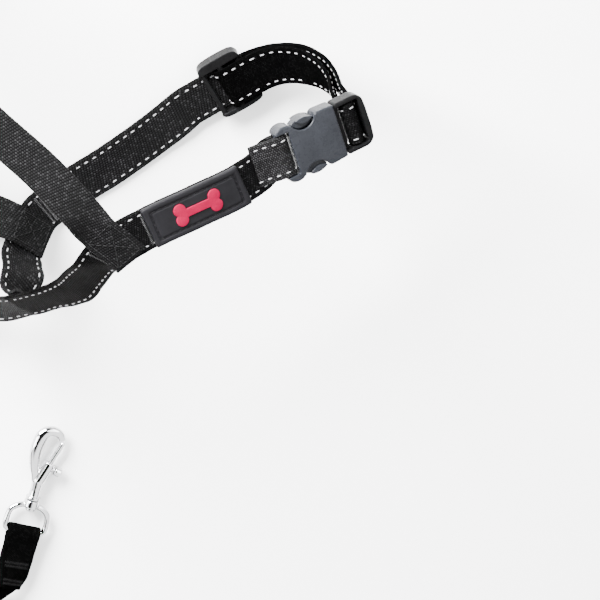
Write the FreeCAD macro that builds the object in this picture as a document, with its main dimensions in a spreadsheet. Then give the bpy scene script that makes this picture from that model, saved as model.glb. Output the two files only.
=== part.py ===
"""Head halter for training a dog, lying on its far side.

The neck loop stands like a wheel whose axle runs along Y: its far strap lies flat at z = 0 and its
near strap, with the label and the side-release buckle, arches over it.  +X runs from the throat to
the nape and +Y towards the nose loop.
"""
import FreeCAD, Part
import math
import os
import Sketcher

Vector = FreeCAD.Vector

os.makedirs("parts", exist_ok=True)
doc = FreeCAD.newDocument("HeadHalter")

# ---------------------------------------------------------------- driving dimensions, millimetres
SIZES = [
    ("neck_width", 20.0), ("cheek_width", 18.0), ("nose_width", 20.0), ("chin_width", 15.0),
    ("link_width", 15.0), ("webbing_thick", 1.6), ("loop_width", 13.0), ("loop_thick", 1.4),
    ("pad_width", 26.0), ("pad_thick", 5.0), ("layer_gap", 0.2),
    ("side_ring_radius", 13.0), ("control_ring_radius", 16.0), ("ring_wire", 1.75),
    ("ring_gap", 0.3),
    ("label_width", 19.6), ("label_thick", 2.2), ("motif_height", 0.6),
    ("female_length", 30.0), ("female_width", 26.0), ("buckle_thick", 7.6),
    ("male_length", 14.4), ("male_bar", 3.0),
    ("prong_height", 3.6),
    ("slider_length", 20.0), ("slider_width", 27.0), ("slider_rail", 2.6),
    ("stitch_height", 0.5),
    ("snap_wire", 2.3), ("snap_barrel", 3.1), ("snap_stem", 1.6), ("swivel_gap", 0.06),
    ("bolt_radius", 1.3), ("eye_wire", 1.4),
    ("shift_x", 34.3), ("shift_y", -8.2), ("lift", -0.055),
]
sheet = doc.addObject("Spreadsheet::Sheet", "Sizes")
for row, (alias, value) in enumerate(SIZES, start=1):
    sheet.set("A%d" % row, alias)
    sheet.set("B%d" % row, "%g" % value)
    sheet.setAlias("B%d" % row, alias)
doc.recompute()


def size(alias):
    """The value of one driving dimension."""
    return float(sheet.get(alias))


def at(x, y, z):
    """A point given from the throat of the neck loop, moved into the part's own frame."""
    return Vector(x - size("shift_x"), y - size("shift_y"), z + size("lift"))


def unit(x, y, z=0.0):
    vector = Vector(x, y, z)
    return vector.normalize()


def placed(origin, x_axis, z_axis):
    """A placement whose x and z axes point along the two given directions."""
    x_axis = Vector(x_axis).normalize()
    z_axis = Vector(z_axis) - x_axis * Vector(z_axis).dot(x_axis)
    z_axis.normalize()
    y_axis = z_axis.cross(x_axis)
    return FreeCAD.Placement(origin, FreeCAD.Rotation(x_axis, y_axis, z_axis, "XYZ"))


kept = []


def keep(obj, name):
    """Give an object the label that names its file, and list it for export."""
    obj.Label = name
    kept.append((name, obj))
    return obj


# ------------------------------------------------------------------------------- webbing straps
def frames(stations):
    """(point, tangent, width direction, normal) at each station of a strap's middle line.

    A station is its centre and its width direction, with its tangent as well where that is set.
    """
    points = [at(*station[0]) for station in stations]
    result = []
    last = len(points) - 1
    for i, station in enumerate(stations):
        before = points[max(i - 1, 0)]
        after = points[min(i + 1, last)]
        if i == 0:
            tangent = (points[1] - points[0]) * 2 - (points[2] - points[0]) * 0.5
        elif i == last:
            tangent = (points[last] - points[last - 1]) * 2 - (points[last] - points[last - 2]) * 0.5
        else:
            back = (points[i] - before).Length
            forth = (after - points[i]).Length
            tangent = (points[i] - before) * (forth / back) + (after - points[i]) * (back / forth)
        if len(station) == 3:
            tangent = Vector(*station[2])
        tangent.normalize()
        width = Vector(*station[1])
        width = width - tangent * width.dot(tangent)
        width.normalize()
        result.append((points[i], tangent, width, tangent.cross(width)))
    return result


STEP = 7.0
TURN_STEP = math.radians(14)


def hermite(start, start_slope, end, end_slope, share):
    """Cubic interpolation between two vectors with the given end slopes."""
    square, cube = share ** 2, share ** 3
    return (start * (2 * cube - 3 * square + 1) + start_slope * (cube - 2 * square + share)
            + end * (3 * square - 2 * cube) + end_slope * (cube - square))


def refined(coarse):
    """The given frames with more between them, so that neither distance nor turn is large."""
    fine = [coarse[0]]
    for (start, start_tangent, start_width, _), last in zip(coarse, coarse[1:]):
        end, end_tangent, end_width, _ = last
        chord = (end - start).Length
        turn = max(start_tangent.getAngle(end_tangent), start_width.getAngle(end_width))
        count = max(1, math.ceil(chord / STEP), math.ceil(turn / TURN_STEP))
        for i in range(1, count):
            share = i / count
            ease = share * share * (3 - 2 * share)
            point = hermite(start, start_tangent * chord, end, end_tangent * chord, share)
            ahead = hermite(start, start_tangent * chord, end, end_tangent * chord, share + 0.01)
            tangent = (ahead - point).normalize()
            width = start_width * (1 - ease) + end_width * ease
            width = (width - tangent * width.dot(tangent)).normalize()
            fine.append((point, tangent, width, tangent.cross(width)))
        fine.append(last)
    return fine


def rectangle(sketch, width, thick):
    """A centred rectangle in a sketch, its two sizes bound to sheet cells."""
    half_w = size(width) / 2
    half_t = size(thick) / 2
    corners = [Vector(-half_w, -half_t, 0), Vector(half_w, -half_t, 0),
               Vector(half_w, half_t, 0), Vector(-half_w, half_t, 0)]
    for i in range(4):
        sketch.addGeometry(Part.LineSegment(corners[i], corners[(i + 1) % 4]), False)
    for i in range(4):
        sketch.addConstraint(Sketcher.Constraint("Coincident", i, 2, (i + 1) % 4, 1))
    sketch.addConstraint(Sketcher.Constraint("Horizontal", 0))
    sketch.addConstraint(Sketcher.Constraint("Horizontal", 2))
    sketch.addConstraint(Sketcher.Constraint("Vertical", 1))
    sketch.addConstraint(Sketcher.Constraint("Vertical", 3))
    sketch.addConstraint(Sketcher.Constraint("Symmetric", 0, 1, 1, 2, -1, 1))
    across = sketch.addConstraint(Sketcher.Constraint("DistanceX", 0, 1, 0, 2, 2 * half_w))
    deep = sketch.addConstraint(Sketcher.Constraint("DistanceY", 1, 1, 1, 2, 2 * half_t))
    sketch.setExpression("Constraints[%d]" % across, "Sizes." + width)
    sketch.setExpression("Constraints[%d]" % deep, "Sizes." + thick)


def strap(name, strap_frames, width="neck_width", thick="webbing_thick", offset=0.0, ends=None):
    """A flat strap lofted through rectangles that follow the given frames.

    offset moves it along its normal; ends gives another width cell to its first or last section.
    """
    sections = []
    strap_frames = refined(strap_frames)
    last = len(strap_frames) - 1
    for i, (point, tangent, across, normal) in enumerate(strap_frames):
        sketch = doc.addObject("Sketcher::SketchObject", "%s_section_%d" % (name, i))
        cell = width
        if ends and i in (0, last):
            cell = ends[0 if i == 0 else 1] or width
        rectangle_centre = point + normal * offset
        frame = FreeCAD.Rotation(across, normal, tangent, "XYZ")
        rectangle(sketch, cell, thick)
        sketch.Placement = FreeCAD.Placement(rectangle_centre, frame)
        sections.append(sketch)
    loft = doc.addObject("Part::Loft", name)
    loft.Sections = sections
    loft.Solid = True
    loft.Ruled = False
    return keep(loft, name)


def joint_point(frame, along, across, up):
    """A point beside a station: along the strap, across it, and off its face."""
    point, tangent, width, normal = frame
    return point + tangent * along + width * across + normal * up


def plain(point):
    """Undo at(), so that a computed point can be listed with the hand-set ones."""
    return (point.x + size("shift_x"), point.y + size("shift_y"), point.z - size("lift"))


# --------------------------------------------------------------------------- rings and their loops
RINGS = {
    "near": ((2, 116, 83), "side_ring_radius"),
    "far": ((-10, 100, 3.6), "side_ring_radius"),
    "control": ((-44, 62, 3.6), "control_ring_radius"),
}


def ring_exit(ring, angle, extra=0.0):
    """Where a strap leaves its loop on a ring, in the throat's coordinates."""
    centre, radius = RINGS[ring]
    reach = size(radius) + size("ring_wire") + size("ring_gap") + size("loop_thick") + 0.05 + extra
    turn = math.radians(angle)
    return (centre[0] + reach * math.cos(turn), centre[1] + reach * math.sin(turn), centre[2])


def raised(point, rise):
    return (point[0], point[1], point[2] + rise)


def outward(angle):
    """Away from a ring's centre, at an angle about its axis."""
    turn = math.radians(angle)
    return (math.cos(turn), math.sin(turn), 0)


def inward(angle):
    return outward(angle + 180)


def ring(name, key):
    centre, radius = RINGS[key]
    torus = doc.addObject("Part::Torus", name)
    torus.setExpression("Radius1", "Sizes." + radius)
    torus.setExpression("Radius2", "Sizes.ring_wire")
    torus.Placement = FreeCAD.Placement(at(*centre), FreeCAD.Rotation())
    return keep(torus, name)


def origin_plane(body, role):
    for feature in body.Origin.OriginFeatures:
        if feature.Role == role:
            return feature
    raise ValueError(role)


def new_body(name):
    return keep(doc.addObject("PartDesign::Body", name), name)


def new_sketch(body, name, role):
    sketch = body.newObject("Sketcher::SketchObject", body.Name + "_" + name)
    sketch.AttachmentSupport = [(origin_plane(body, role), "")]
    sketch.MapMode = "FlatFace"
    return sketch


def obround(sketch, start, end, radius, expressions):
    """A slot along the sketch's x axis; expressions give its two centres and its radius."""
    first = sketch.GeometryCount
    top = math.pi / 2
    sketch.addGeometry(Part.ArcOfCircle(Part.Circle(Vector(start, 0, 0), Vector(0, 0, 1), radius),
                                        top, 3 * top), False)
    sketch.addGeometry(Part.LineSegment(Vector(start, -radius, 0), Vector(end, -radius, 0)), False)
    sketch.addGeometry(Part.ArcOfCircle(Part.Circle(Vector(end, 0, 0), Vector(0, 0, 1), radius),
                                        -top, top), False)
    sketch.addGeometry(Part.LineSegment(Vector(end, radius, 0), Vector(start, radius, 0)), False)
    left, lower, right, upper = range(first, first + 4)
    sketch.addConstraint(Sketcher.Constraint("Tangent", left, 2, lower, 1))
    sketch.addConstraint(Sketcher.Constraint("Tangent", lower, 2, right, 1))
    sketch.addConstraint(Sketcher.Constraint("Tangent", right, 2, upper, 1))
    sketch.addConstraint(Sketcher.Constraint("Tangent", upper, 2, left, 1))
    sketch.addConstraint(Sketcher.Constraint("PointOnObject", left, 3, -1))
    sketch.addConstraint(Sketcher.Constraint("PointOnObject", right, 3, -1))
    cells = [
        sketch.addConstraint(Sketcher.Constraint("DistanceX", -1, 1, left, 3, start)),
        sketch.addConstraint(Sketcher.Constraint("DistanceX", -1, 1, right, 3, end)),
        sketch.addConstraint(Sketcher.Constraint("Radius", left, radius)),
    ]
    for cell, expression in zip(cells, expressions):
        sketch.setExpression("Constraints[%d]" % cell, expression)


def pad(body, sketch, name, length=None, expression=None, symmetric=True):
    feature = body.newObject("PartDesign::Pad", body.Name + "_" + name)
    feature.Profile = sketch
    feature.Midplane = symmetric
    if expression:
        feature.setExpression("Length", expression)
    else:
        feature.Length = length
    body.Tip = feature
    return feature


def pocket(body, sketch, name, length=None, expression=None):
    """A symmetric pocket that must remove some material."""
    before = body.Tip
    feature = body.newObject("PartDesign::Pocket", body.Name + "_" + name)
    feature.Profile = sketch
    feature.Midplane = True
    if expression:
        feature.setExpression("Length", expression)
    else:
        feature.Length = length
    body.Tip = feature
    cuts.append((before, feature))
    return feature


cuts = []


def ring_loop(name, key, angle):
    """The end of a strap folded round a ring's wire, clear of the wire all the way round."""
    centre, radius_cell = RINGS[key]
    body = new_body(name)
    radius = size(radius_cell)
    half = size("loop_width") / 2
    inner = size("ring_wire") + size("ring_gap")
    start = math.sqrt(radius ** 2 - half ** 2) - 0.5
    start_text = "sqrt(Sizes.%s ^ 2 - (Sizes.loop_width / 2) ^ 2) - 0.5" % radius_cell
    inner_text = "Sizes.ring_wire + Sizes.ring_gap"
    sketch = new_sketch(body, "profile", "XZ_Plane")
    obround(sketch, start, radius, inner + size("loop_thick"),
            [start_text, "Sizes." + radius_cell, inner_text + " + Sizes.loop_thick"])
    obround(sketch, start, radius, inner, [start_text, "Sizes." + radius_cell, inner_text])
    pad(body, sketch, "fold", expression="Sizes.loop_width")
    body.Placement = FreeCAD.Placement(at(*centre), FreeCAD.Rotation(Vector(0, 0, 1), angle))
    return body


ring("side_ring_near", "near")
ring("side_ring_far", "far")
ring("control_ring", "control")

CHEEK_NEAR, NOSE_NEAR, CHIN_NEAR = 297, 35, 205
CHEEK_FAR, NOSE_FAR, CHIN_FAR = 301, 35, 219
CONTROL_FAR, CONTROL_NEAR, CONTROL_LINK, CONTROL_THROAT = 50, 130, 205, 280
ring_loop("cheek_loop_near", "near", CHEEK_NEAR)
ring_loop("nose_loop_near", "near", NOSE_NEAR)
ring_loop("chin_loop_near", "near", CHIN_NEAR)
ring_loop("cheek_loop_far", "far", CHEEK_FAR)
ring_loop("nose_loop_far", "far", NOSE_FAR)
ring_loop("chin_loop_far", "far", CHIN_FAR)
ring_loop("control_loop_chin_far", "control", CONTROL_FAR)
ring_loop("control_loop_chin_near", "control", CONTROL_NEAR)
ring_loop("control_loop_throat", "control", CONTROL_THROAT)
ring_loop("link_ring_loop", "control", CONTROL_LINK)

# ------------------------------------------------------------------------------------ neck straps
BUCKLE_AXIS = unit(.948, -.153, -.279)
BUCKLE = placed(at(126.1, .7, 93.5), BUCKLE_AXIS, unit(.275, -.049, .96))
BUCKLE_UP = BUCKLE.Rotation.multVec(Vector(0, 0, 1))


def on_buckle(x, y, z):
    return plain(BUCKLE.multVec(Vector(x, y, z)))


BUCKLE_ACROSS = tuple(BUCKLE.Rotation.multVec(Vector(0, 1, 0)))
FOLD_LEG = 2.7

# The adjusting loop hangs straight down from the male half's bar, on either side of it.
HANG = 16.2
OUTER_X, OUTER_LEG, INNER_LEG = 3.0, -9.0, -5.5
MALE_FOLD = BUCKLE.multiply(FreeCAD.Placement(
    Vector(37.2, 0, 0), FreeCAD.Rotation(Vector(0, 1, 0), -HANG).multiply(
        FreeCAD.Rotation(Vector(0, 0, 1), -90))))


def fold_point(x, z):
    """A point on the hanging fold: x off the bar along the strap, z up the legs."""
    return plain(MALE_FOLD.multVec(Vector(0, x, z)))


# Near side: from the control ring under the throat, up through the near joint to the buckle's slot.
NEAR_NECK = frames([
    (ring_exit("control", CONTROL_THROAT), (.98, .17, 0), outward(CONTROL_THROAT)),
    (ring_exit("control", CONTROL_THROAT, 8), (.98, .17, .02)),
    ((-42, 16, 3.4), (1, 0, .05)),
    ((-39, -4, 6.5), (.9, .4, .05)),
    ((-31, -18, 15), (.5, .85, .2)),
    ((-20, -24.5, 27), (.22, .76, .6)),
    ((-7, -25, 42), (.1, .68, .72)),
    ((4.5, -22.5, 55.5), (.06, .7, .7)),
    ((11.5, -21, 63.5), (-.12, .83, .52)),
    ((17.7, -18.3, 71.5), (-.33, .9, .28)),
    ((23.5, -12, 81.5), (-.42, .85, .33)),
    ((30.5, -4.5, 93.5), (-.45, .79, .4)),
    ((38.5, 1.8, 103.2), (-.25, .92, .1)),
    ((48, 6, 108.2), (0, .98, 0)),
    ((60, 6, 107.6), (.12, .98, 0)),
    ((84, 2.8, 103.2), (.17, .98, 0)),
    ((106, -.4, 97.4), (.17, .98, 0)),
    ((115.5, -.4, 94.5), (.16, .98, 0)),
    (on_buckle(-2.4, 0, -FOLD_LEG), BUCKLE_ACROSS, tuple(BUCKLE_AXIS)),
])
THROAT = 6
NEAR_JOINT = 13

# Slider on the far strap, with its own frame: x along the strap, z to the inside of the loop.
SLIDER_AXIS = unit(.995, .06, .07)
SLIDER = placed(at(122.4, 7.3, 5.4), SLIDER_AXIS, unit(-.07, -.06, 1))


def on_slider(x, y, z):
    return plain(SLIDER.multVec(Vector(x, y, z)))


SLIDER_ACROSS = tuple(SLIDER.Rotation.multVec(Vector(0, 1, 0)))

throat = NEAR_NECK[THROAT]

# Far side: from the throat down to the far joint, along the ground, straight through the slider and
# up to the buckle as the outer layer of the adjusting loop.
FAR_NECK = frames([
    (plain(joint_point(throat, 7, 0, -3.0)), tuple(throat[2])),
    (plain(joint_point(throat, 0, 0, -2.6)), tuple(throat[2])),
    (plain(joint_point(throat, -4.5, .3, -6.5)), tuple(throat[2])),
    ((1, -17, 29), (-.7, .7, 0)),
    ((3, -14.8, 19.5), (-.66, .75, 0)),
    ((6.5, -12.4, 13.7), (-.42, .9, .05), (.71, .34, -.61)),
    ((12.2, -9.7, 8.8), (-.4, .92, .05), (.71, .34, -.61)),
    ((18, -7.1, 4.0), (-.36, .93, .05), (.74, .3, -.6)),
    ((28, -5.0, 2.0), (-.13, .99, 0)),
    ((60, -2.0, 1.4), (-.14, .99, 0)),
    ((80, 1.0, 2.0), (-.16, .98, .02)),
    ((92, 3.5, 2.9), (-.16, .98, -.02)),
    (on_slider(-20, 0, 0), SLIDER_ACROSS, tuple(SLIDER_AXIS)),
    (on_slider(0, 0, 0), SLIDER_ACROSS),
    (on_slider(10.5, 0, 0), SLIDER_ACROSS),
    ((144.5, 7, 9.4), (0, .99, .05)),
    ((155.5, 4.4, 17.5), (.02, .99, 0)),
    ((163, 1, 31.5), (.04, .99, 0)),
    ((165.2, -2.4, 46), (.08, .99, 0)),
    ((164, -5, 59), (.13, .99, 0)),
    (fold_point(OUTER_X, OUTER_LEG - .75), BUCKLE_ACROSS, (0, 0, 1)),
])
FAR_JOINT = 6
SLIDER_END = 14


def part_of(all_frames, first, last):
    return all_frames[first:last + 1]


strap("throat_strap", part_of(NEAR_NECK, 0, THROAT), ends=("loop_width", None))
strap("neck_strap_near_throat", part_of(NEAR_NECK, THROAT, NEAR_JOINT))
strap("neck_strap_near", part_of(NEAR_NECK, NEAR_JOINT, len(NEAR_NECK) - 1))
strap("neck_strap_far_throat", part_of(FAR_NECK, 0, FAR_JOINT + 1))
strap("neck_strap_far", part_of(FAR_NECK, FAR_JOINT + 1, SLIDER_END))
strap("adjuster_outer_layer", part_of(FAR_NECK, SLIDER_END, len(FAR_NECK) - 1))
strap("adjuster_inner_layer", frames([
    (on_slider(12.3, 0, 4.9), SLIDER_ACROSS, tuple(SLIDER_AXIS)),
    ((144, 7, 12.6), (0, .99, .05)),
    ((153.5, 4.4, 20), (.02, .99, 0)),
    ((160, 1, 33.2), (.04, .99, 0)),
    ((161.6, -2.4, 46), (.08, .99, 0)),
    ((159.6, -4.8, 58), (.13, .99, 0)),
    (fold_point(-OUTER_X, INNER_LEG - .65), BUCKLE_ACROSS, (0, 0, 1)),
]))

# ----------------------------------------------------------------------- cheek, nose and chin straps
PATCH = size("webbing_thick") + size("layer_gap") + 0.3
near_joint = NEAR_NECK[NEAR_JOINT]
near_along = tuple((near_joint[1] + near_joint[2] * .18) * -1)
strap("cheek_strap_near", frames([
    (plain(joint_point(near_joint, -2.0, -8.8, PATCH)), near_along),
    (plain(joint_point(near_joint, -3.4, 0, PATCH)), near_along),
    (plain(joint_point(near_joint, -5.6, 10, PATCH)), near_along),
    ((36.8, 29.5, 107.8), (-.88, -.3, .22)),
    ((31.2, 49.6, 101.5), (-.9, -.35, .2)),
    ((21.6, 74, 92.5), (-.9, -.4, .1)),
    (ring_exit("near", CHEEK_NEAR, 10), (-.88, -.45, 0)),
    (ring_exit("near", CHEEK_NEAR), (-.88, -.45, 0), inward(CHEEK_NEAR)),
]), width="cheek_width", ends=(None, "loop_width"))

far_joint = FAR_NECK[FAR_JOINT]
far_along = tuple((far_joint[1] + far_joint[2] * .15) * -1)
strap("cheek_strap_far", frames([
    (plain(joint_point(far_joint, 0, -8.5, PATCH + .25)), far_along),
    (plain(joint_point(far_joint, -.8, 0, PATCH + .2)), far_along),
    (plain(joint_point(far_joint, -2.0, 8.5, PATCH + .7)), far_along),
    ((-2.5, 11.5, 6.2), (-.86, -.42, .1)),
    ((-6.5, 33, 2.6), (-.98, -.1, .05)),
    ((-5, 56, 1.4), (-.97, .1, 0)),
    (ring_exit("far", CHEEK_FAR, 9), (-.87, -.5, 0)),
    (ring_exit("far", CHEEK_FAR), (-.87, -.5, 0), inward(CHEEK_FAR)),
]), width="cheek_width", ends=(None, "loop_width"))

NOSE = frames([
    (ring_exit("near", NOSE_NEAR), (-.574, .819, 0), outward(NOSE_NEAR)),
    (ring_exit("near", NOSE_NEAR, 8), (-.574, .819, 0)),
    ((34, 137, 76), (-.52, .85, 0)),
    ((42.5, 139, 61), (-.48, .87, 0)),
    ((45, 137, 43), (-.47, .88, 0)),
    ((42, 132, 25), (-.48, .87, 0)),
    ((33, 125, 10), (-.5, .86, 0)),
    ((20.5, 119, 2.6), (-.54, .84, 0)),
    (ring_exit("far", NOSE_FAR, 6), (-.574, .819, 0)),
    (ring_exit("far", NOSE_FAR), (-.574, .819, 0), inward(NOSE_FAR)),
])
strap("noseband_webbing", NOSE, width="nose_width", ends=("loop_width", "loop_width"))
strap("noseband_pad", part_of(NOSE, 1, 7), width="pad_width", thick="pad_thick",
      offset=-(size("webbing_thick") + size("pad_thick")) / 2 - size("layer_gap"))

strap("chin_strap_near", frames([
    (ring_exit("near", CHIN_NEAR), (.423, -.906, 0), outward(CHIN_NEAR)),
    (ring_exit("near", CHIN_NEAR, 6), (.423, -.906, 0)),
    ((-32, 101, 73), (.25, -.95, 0)),
    ((-42, 98, 55), (.1, -.98, 0)),
    ((-51, 96, 36), (-.1, -.98, 0)),
    ((-60, 92, 19), (-.4, -.9, 0)),
    (raised(ring_exit("control", CONTROL_NEAR, 8), 2.0), (-.766, -.643, 0)),
    (ring_exit("control", CONTROL_NEAR), (-.766, -.643, 0), inward(CONTROL_NEAR)),
]), width="chin_width", ends=("loop_width", "loop_width"))
strap("chin_strap_far", frames([
    (ring_exit("far", CHIN_FAR), (.643, -.766, 0), outward(CHIN_FAR)),
    (ring_exit("far", CHIN_FAR, 4), (.7, -.7, 0)),
    (ring_exit("control", CONTROL_FAR, 4), (.75, -.66, 0)),
    (ring_exit("control", CONTROL_FAR), (.766, -.643, 0), inward(CONTROL_FAR)),
]), width="loop_width")

# -------------------------------------------------------------------------- label and bar-tack thread
LABEL_MID = 15
strap("label", part_of(NEAR_NECK, LABEL_MID - 1, LABEL_MID + 1), width="label_width",
      thick="label_thick",
      offset=(size("webbing_thick") + size("label_thick")) / 2 + size("layer_gap"))


def box_body(name, placement, cells):
    """A block centred on its placement, its three sizes bound to sheet cells."""
    block = doc.addObject("Part::Box", name)
    for axis, cell in zip(("Length", "Width", "Height"), cells):
        block.setExpression(axis, cell)
    doc.recompute()
    centre = Vector(block.Length.Value / 2, block.Width.Value / 2, 0)
    block.Placement = placement.multiply(FreeCAD.Placement(centre * -1, FreeCAD.Rotation()))
    return block


def frame_placement(frame, along, across, up):
    """x along the strap, y across it, z off its face."""
    return placed(joint_point(frame, along, across, up), frame[1], frame[3])


motif = new_body("label_motif")
MOTIF_HALF, KNOB = 8.5, 2.9
outline = new_sketch(motif, "bone", "XY_Plane")
BAR = 1.9
corner_x = MOTIF_HALF - math.sqrt(KNOB ** 2 - (2.4 - BAR) ** 2)
notch_x = MOTIF_HALF + math.sqrt(KNOB ** 2 - 2.4 ** 2)
for side in (1, -1):
    for up in (1, -1):
        centre = Vector(side * MOTIF_HALF, up * 2.4, 0)
        start = Vector(side * corner_x, up * BAR, 0)
        end = Vector(side * notch_x, 0, 0)
        middle = centre + Vector(side * .35, up * .937, 0) * KNOB
        outline.addGeometry(Part.Arc(start, middle, end), False)
outline.addGeometry(Part.LineSegment(Vector(-corner_x, BAR, 0), Vector(corner_x, BAR, 0)), False)
outline.addGeometry(Part.LineSegment(Vector(-corner_x, -BAR, 0), Vector(corner_x, -BAR, 0)), False)
pad(motif, outline, "raised", expression="Sizes.motif_height", symmetric=False)
LABEL_TOP = size("webbing_thick") / 2 + size("layer_gap") + size("label_thick")
motif.Placement = frame_placement(NEAR_NECK[LABEL_MID], 0, 0, LABEL_TOP - 0.05)

TACK = PATCH + size("webbing_thick") / 2
tacks = [
    ("bartack_near_joint_low", near_joint, -2, -6.5, TACK, ("16", "1.6")),
    ("bartack_near_joint_high", near_joint, -2, 6.5, TACK, ("16", "1.6")),
    ("bartack_far_joint", far_joint, 0, -5.5, TACK, ("12", "1.6")),
]
for name, frame, along, across, up, (long_text, wide_text) in tacks:
    block = box_body(name, frame_placement(frame, along, across, up),
                     (long_text, wide_text, "Sizes.stitch_height"))
    keep(block, name)

# ------------------------------------------------------------------------------------ slide release
female = new_body("buckle_female")
F_LEN, F_HALF = size("female_length"), size("female_width") / 2
shape = new_sketch(female, "outline", "XY_Plane")
upper = [(0, 11.5), (1.6, 13), (5.5, 13), (9.5, 11.2), (10.4, 8.4), (17.6, 8.4), (19.2, 12.2),
         (24, 12.5), (F_LEN, 12.5)]
ends = [Vector(x, y, 0) for x, y in upper] + [Vector(x, -y, 0) for x, y in reversed(upper)]
for i, corner in enumerate(ends):
    shape.addGeometry(Part.LineSegment(corner, ends[(i + 1) % len(ends)]), False)
    if i:
        shape.addConstraint(Sketcher.Constraint("Coincident", i - 1, 2, i, 1))
shape.addConstraint(Sketcher.Constraint("Coincident", len(ends) - 1, 2, 0, 1))
pad(female, shape, "shell", expression="Sizes.buckle_thick")


def rectangle_cut(body, name, x0, x1, half, length=None, expression=None):
    sketch = new_sketch(body, name + "_outline", "XY_Plane")
    points = [Vector(x0, -half, 0), Vector(x1, -half, 0), Vector(x1, half, 0), Vector(x0, half, 0)]
    for i in range(4):
        sketch.addGeometry(Part.LineSegment(points[i], points[(i + 1) % 4]), False)
    for i in range(4):
        sketch.addConstraint(Sketcher.Constraint("Coincident", i, 2, (i + 1) % 4, 1))
    return pocket(body, sketch, name, length, expression)


def rectangle_pad(body, name, x0, x1, y0, y1, length=None, expression=None):
    sketch = new_sketch(body, name + "_outline", "XY_Plane")
    points = [Vector(x0, y0, 0), Vector(x1, y0, 0), Vector(x1, y1, 0), Vector(x0, y1, 0)]
    for i in range(4):
        sketch.addGeometry(Part.LineSegment(points[i], points[(i + 1) % 4]), False)
    for i in range(4):
        sketch.addConstraint(Sketcher.Constraint("Coincident", i, 2, (i + 1) % 4, 1))
    return pad(body, sketch, name, length, expression)


rectangle_cut(female, "channel", 9.2, F_LEN + 1, 10.6, length=4.6)
rectangle_cut(female, "strap_window", -1, 7.2, 10.5, length=20)
rectangle_pad(female, "strap_bar", 0.3, 2.9, -10.7, 10.7, length=3.0)
female.Placement = BUCKLE

# Strap end folded round the female half's bar: main layer below, short returned end on top.
fold = new_body("neck_strap_buckle_fold")
THICK = size("webbing_thick")


def fold_profile(sketch, centre_x, centre_z, inner, outer, leg_a, leg_b, side):
    """A U in the sketch's plane: legs at +-inner..outer, turned round on the given side."""
    half = math.pi / 2
    if side > 0:
        arc = (-half, half)
    else:
        arc = (half, 3 * half)
    for radius in (inner, outer):
        circle = Part.Circle(Vector(centre_x, centre_z, 0), Vector(0, 0, 1), radius)
        sketch.addGeometry(Part.ArcOfCircle(circle, *arc), False)
    for sign, leg in ((1, leg_a), (-1, leg_b)):
        near = centre_z + sign * inner
        far = centre_z + sign * outer
        sketch.addGeometry(Part.LineSegment(Vector(centre_x, near, 0), Vector(leg, near, 0)), False)
        sketch.addGeometry(Part.LineSegment(Vector(leg, near, 0), Vector(leg, far, 0)), False)
        sketch.addGeometry(Part.LineSegment(Vector(leg, far, 0), Vector(centre_x, far, 0)), False)


profile = new_sketch(fold, "profile", "XZ_Plane")
fold_profile(profile, 2.4, 0, FOLD_LEG - THICK / 2, FOLD_LEG + THICK / 2, -11.5, -2.3, 1)
pad(fold, profile, "turn", expression="Sizes.neck_width")
fold.Placement = BUCKLE

male = new_body("buckle_male")
M0, M1 = F_LEN + 0.3, F_LEN + 0.3 + size("male_length")
rectangle_pad(male, "frame", M0, M1, -12.5, 12.5, expression="Sizes.buckle_thick")
rectangle_cut(male, "strap_window", M0 + 2.2, M1 - 1.2, 10.6, length=20)
rectangle_pad(male, "strap_bar", 35.7, 38.7, -11, 11, expression="Sizes.male_bar")
rectangle_pad(male, "tongue", 13, M0 + 0.5, -2.8, 2.8, expression="Sizes.prong_height")
male.Placement = BUCKLE

male_fold = new_body("adjuster_buckle_fold")
profile = new_sketch(male_fold, "profile", "YZ_Plane")
# Sketch x is the buckle's y here, so the U is drawn in a turned frame and placed with its body.
INNER, OUTER = OUTER_X - THICK / 2, OUTER_X + THICK / 2
for radius in (INNER, OUTER):
    circle = Part.Circle(Vector(0, 0, 0), Vector(0, 0, 1), radius)
    profile.addGeometry(Part.ArcOfCircle(circle, 0, math.pi), False)
for sign, leg in ((1, OUTER_LEG), (-1, INNER_LEG)):
    inside, outside = sign * INNER, sign * OUTER
    profile.addGeometry(Part.LineSegment(Vector(inside, 0, 0), Vector(inside, leg, 0)), False)
    profile.addGeometry(Part.LineSegment(Vector(inside, leg, 0), Vector(outside, leg, 0)), False)
    profile.addGeometry(Part.LineSegment(Vector(outside, leg, 0), Vector(outside, 0, 0)), False)
pad(male_fold, profile, "turn", expression="Sizes.neck_width")
male_fold.Placement = MALE_FOLD


def prong(name, side):
    """A sprung arm with a barb that sits in the female half's side window."""
    body = new_body(name)
    sketch = new_sketch(body, "outline", "XY_Plane")
    profile_points = [(M0 - 0.3, 8.0), (M0 - 0.3, 10.2), (18.0, 10.2), (17.4, 12.4), (12.4, 12.4),
                      (10.0, 9.6), (10.0, 8.0)]
    points = [Vector(x, side * y, 0) for x, y in profile_points]
    for i, corner in enumerate(points):
        sketch.addGeometry(Part.LineSegment(corner, points[(i + 1) % len(points)]), False)
        if i:
            sketch.addConstraint(Sketcher.Constraint("Coincident", i - 1, 2, i, 1))
    sketch.addConstraint(Sketcher.Constraint("Coincident", len(points) - 1, 2, 0, 1))
    pad(body, sketch, "arm", expression="Sizes.prong_height")
    body.Placement = BUCKLE
    return body


prong("prong_nose_side", 1)
prong("prong_shoulder_side", -1)

# ------------------------------------------------------------------------------------------- slider
slider = new_body("slider")
S_HALF = size("slider_length") / 2
W_HALF = size("slider_width") / 2
RAIL = size("slider_rail")


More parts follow.
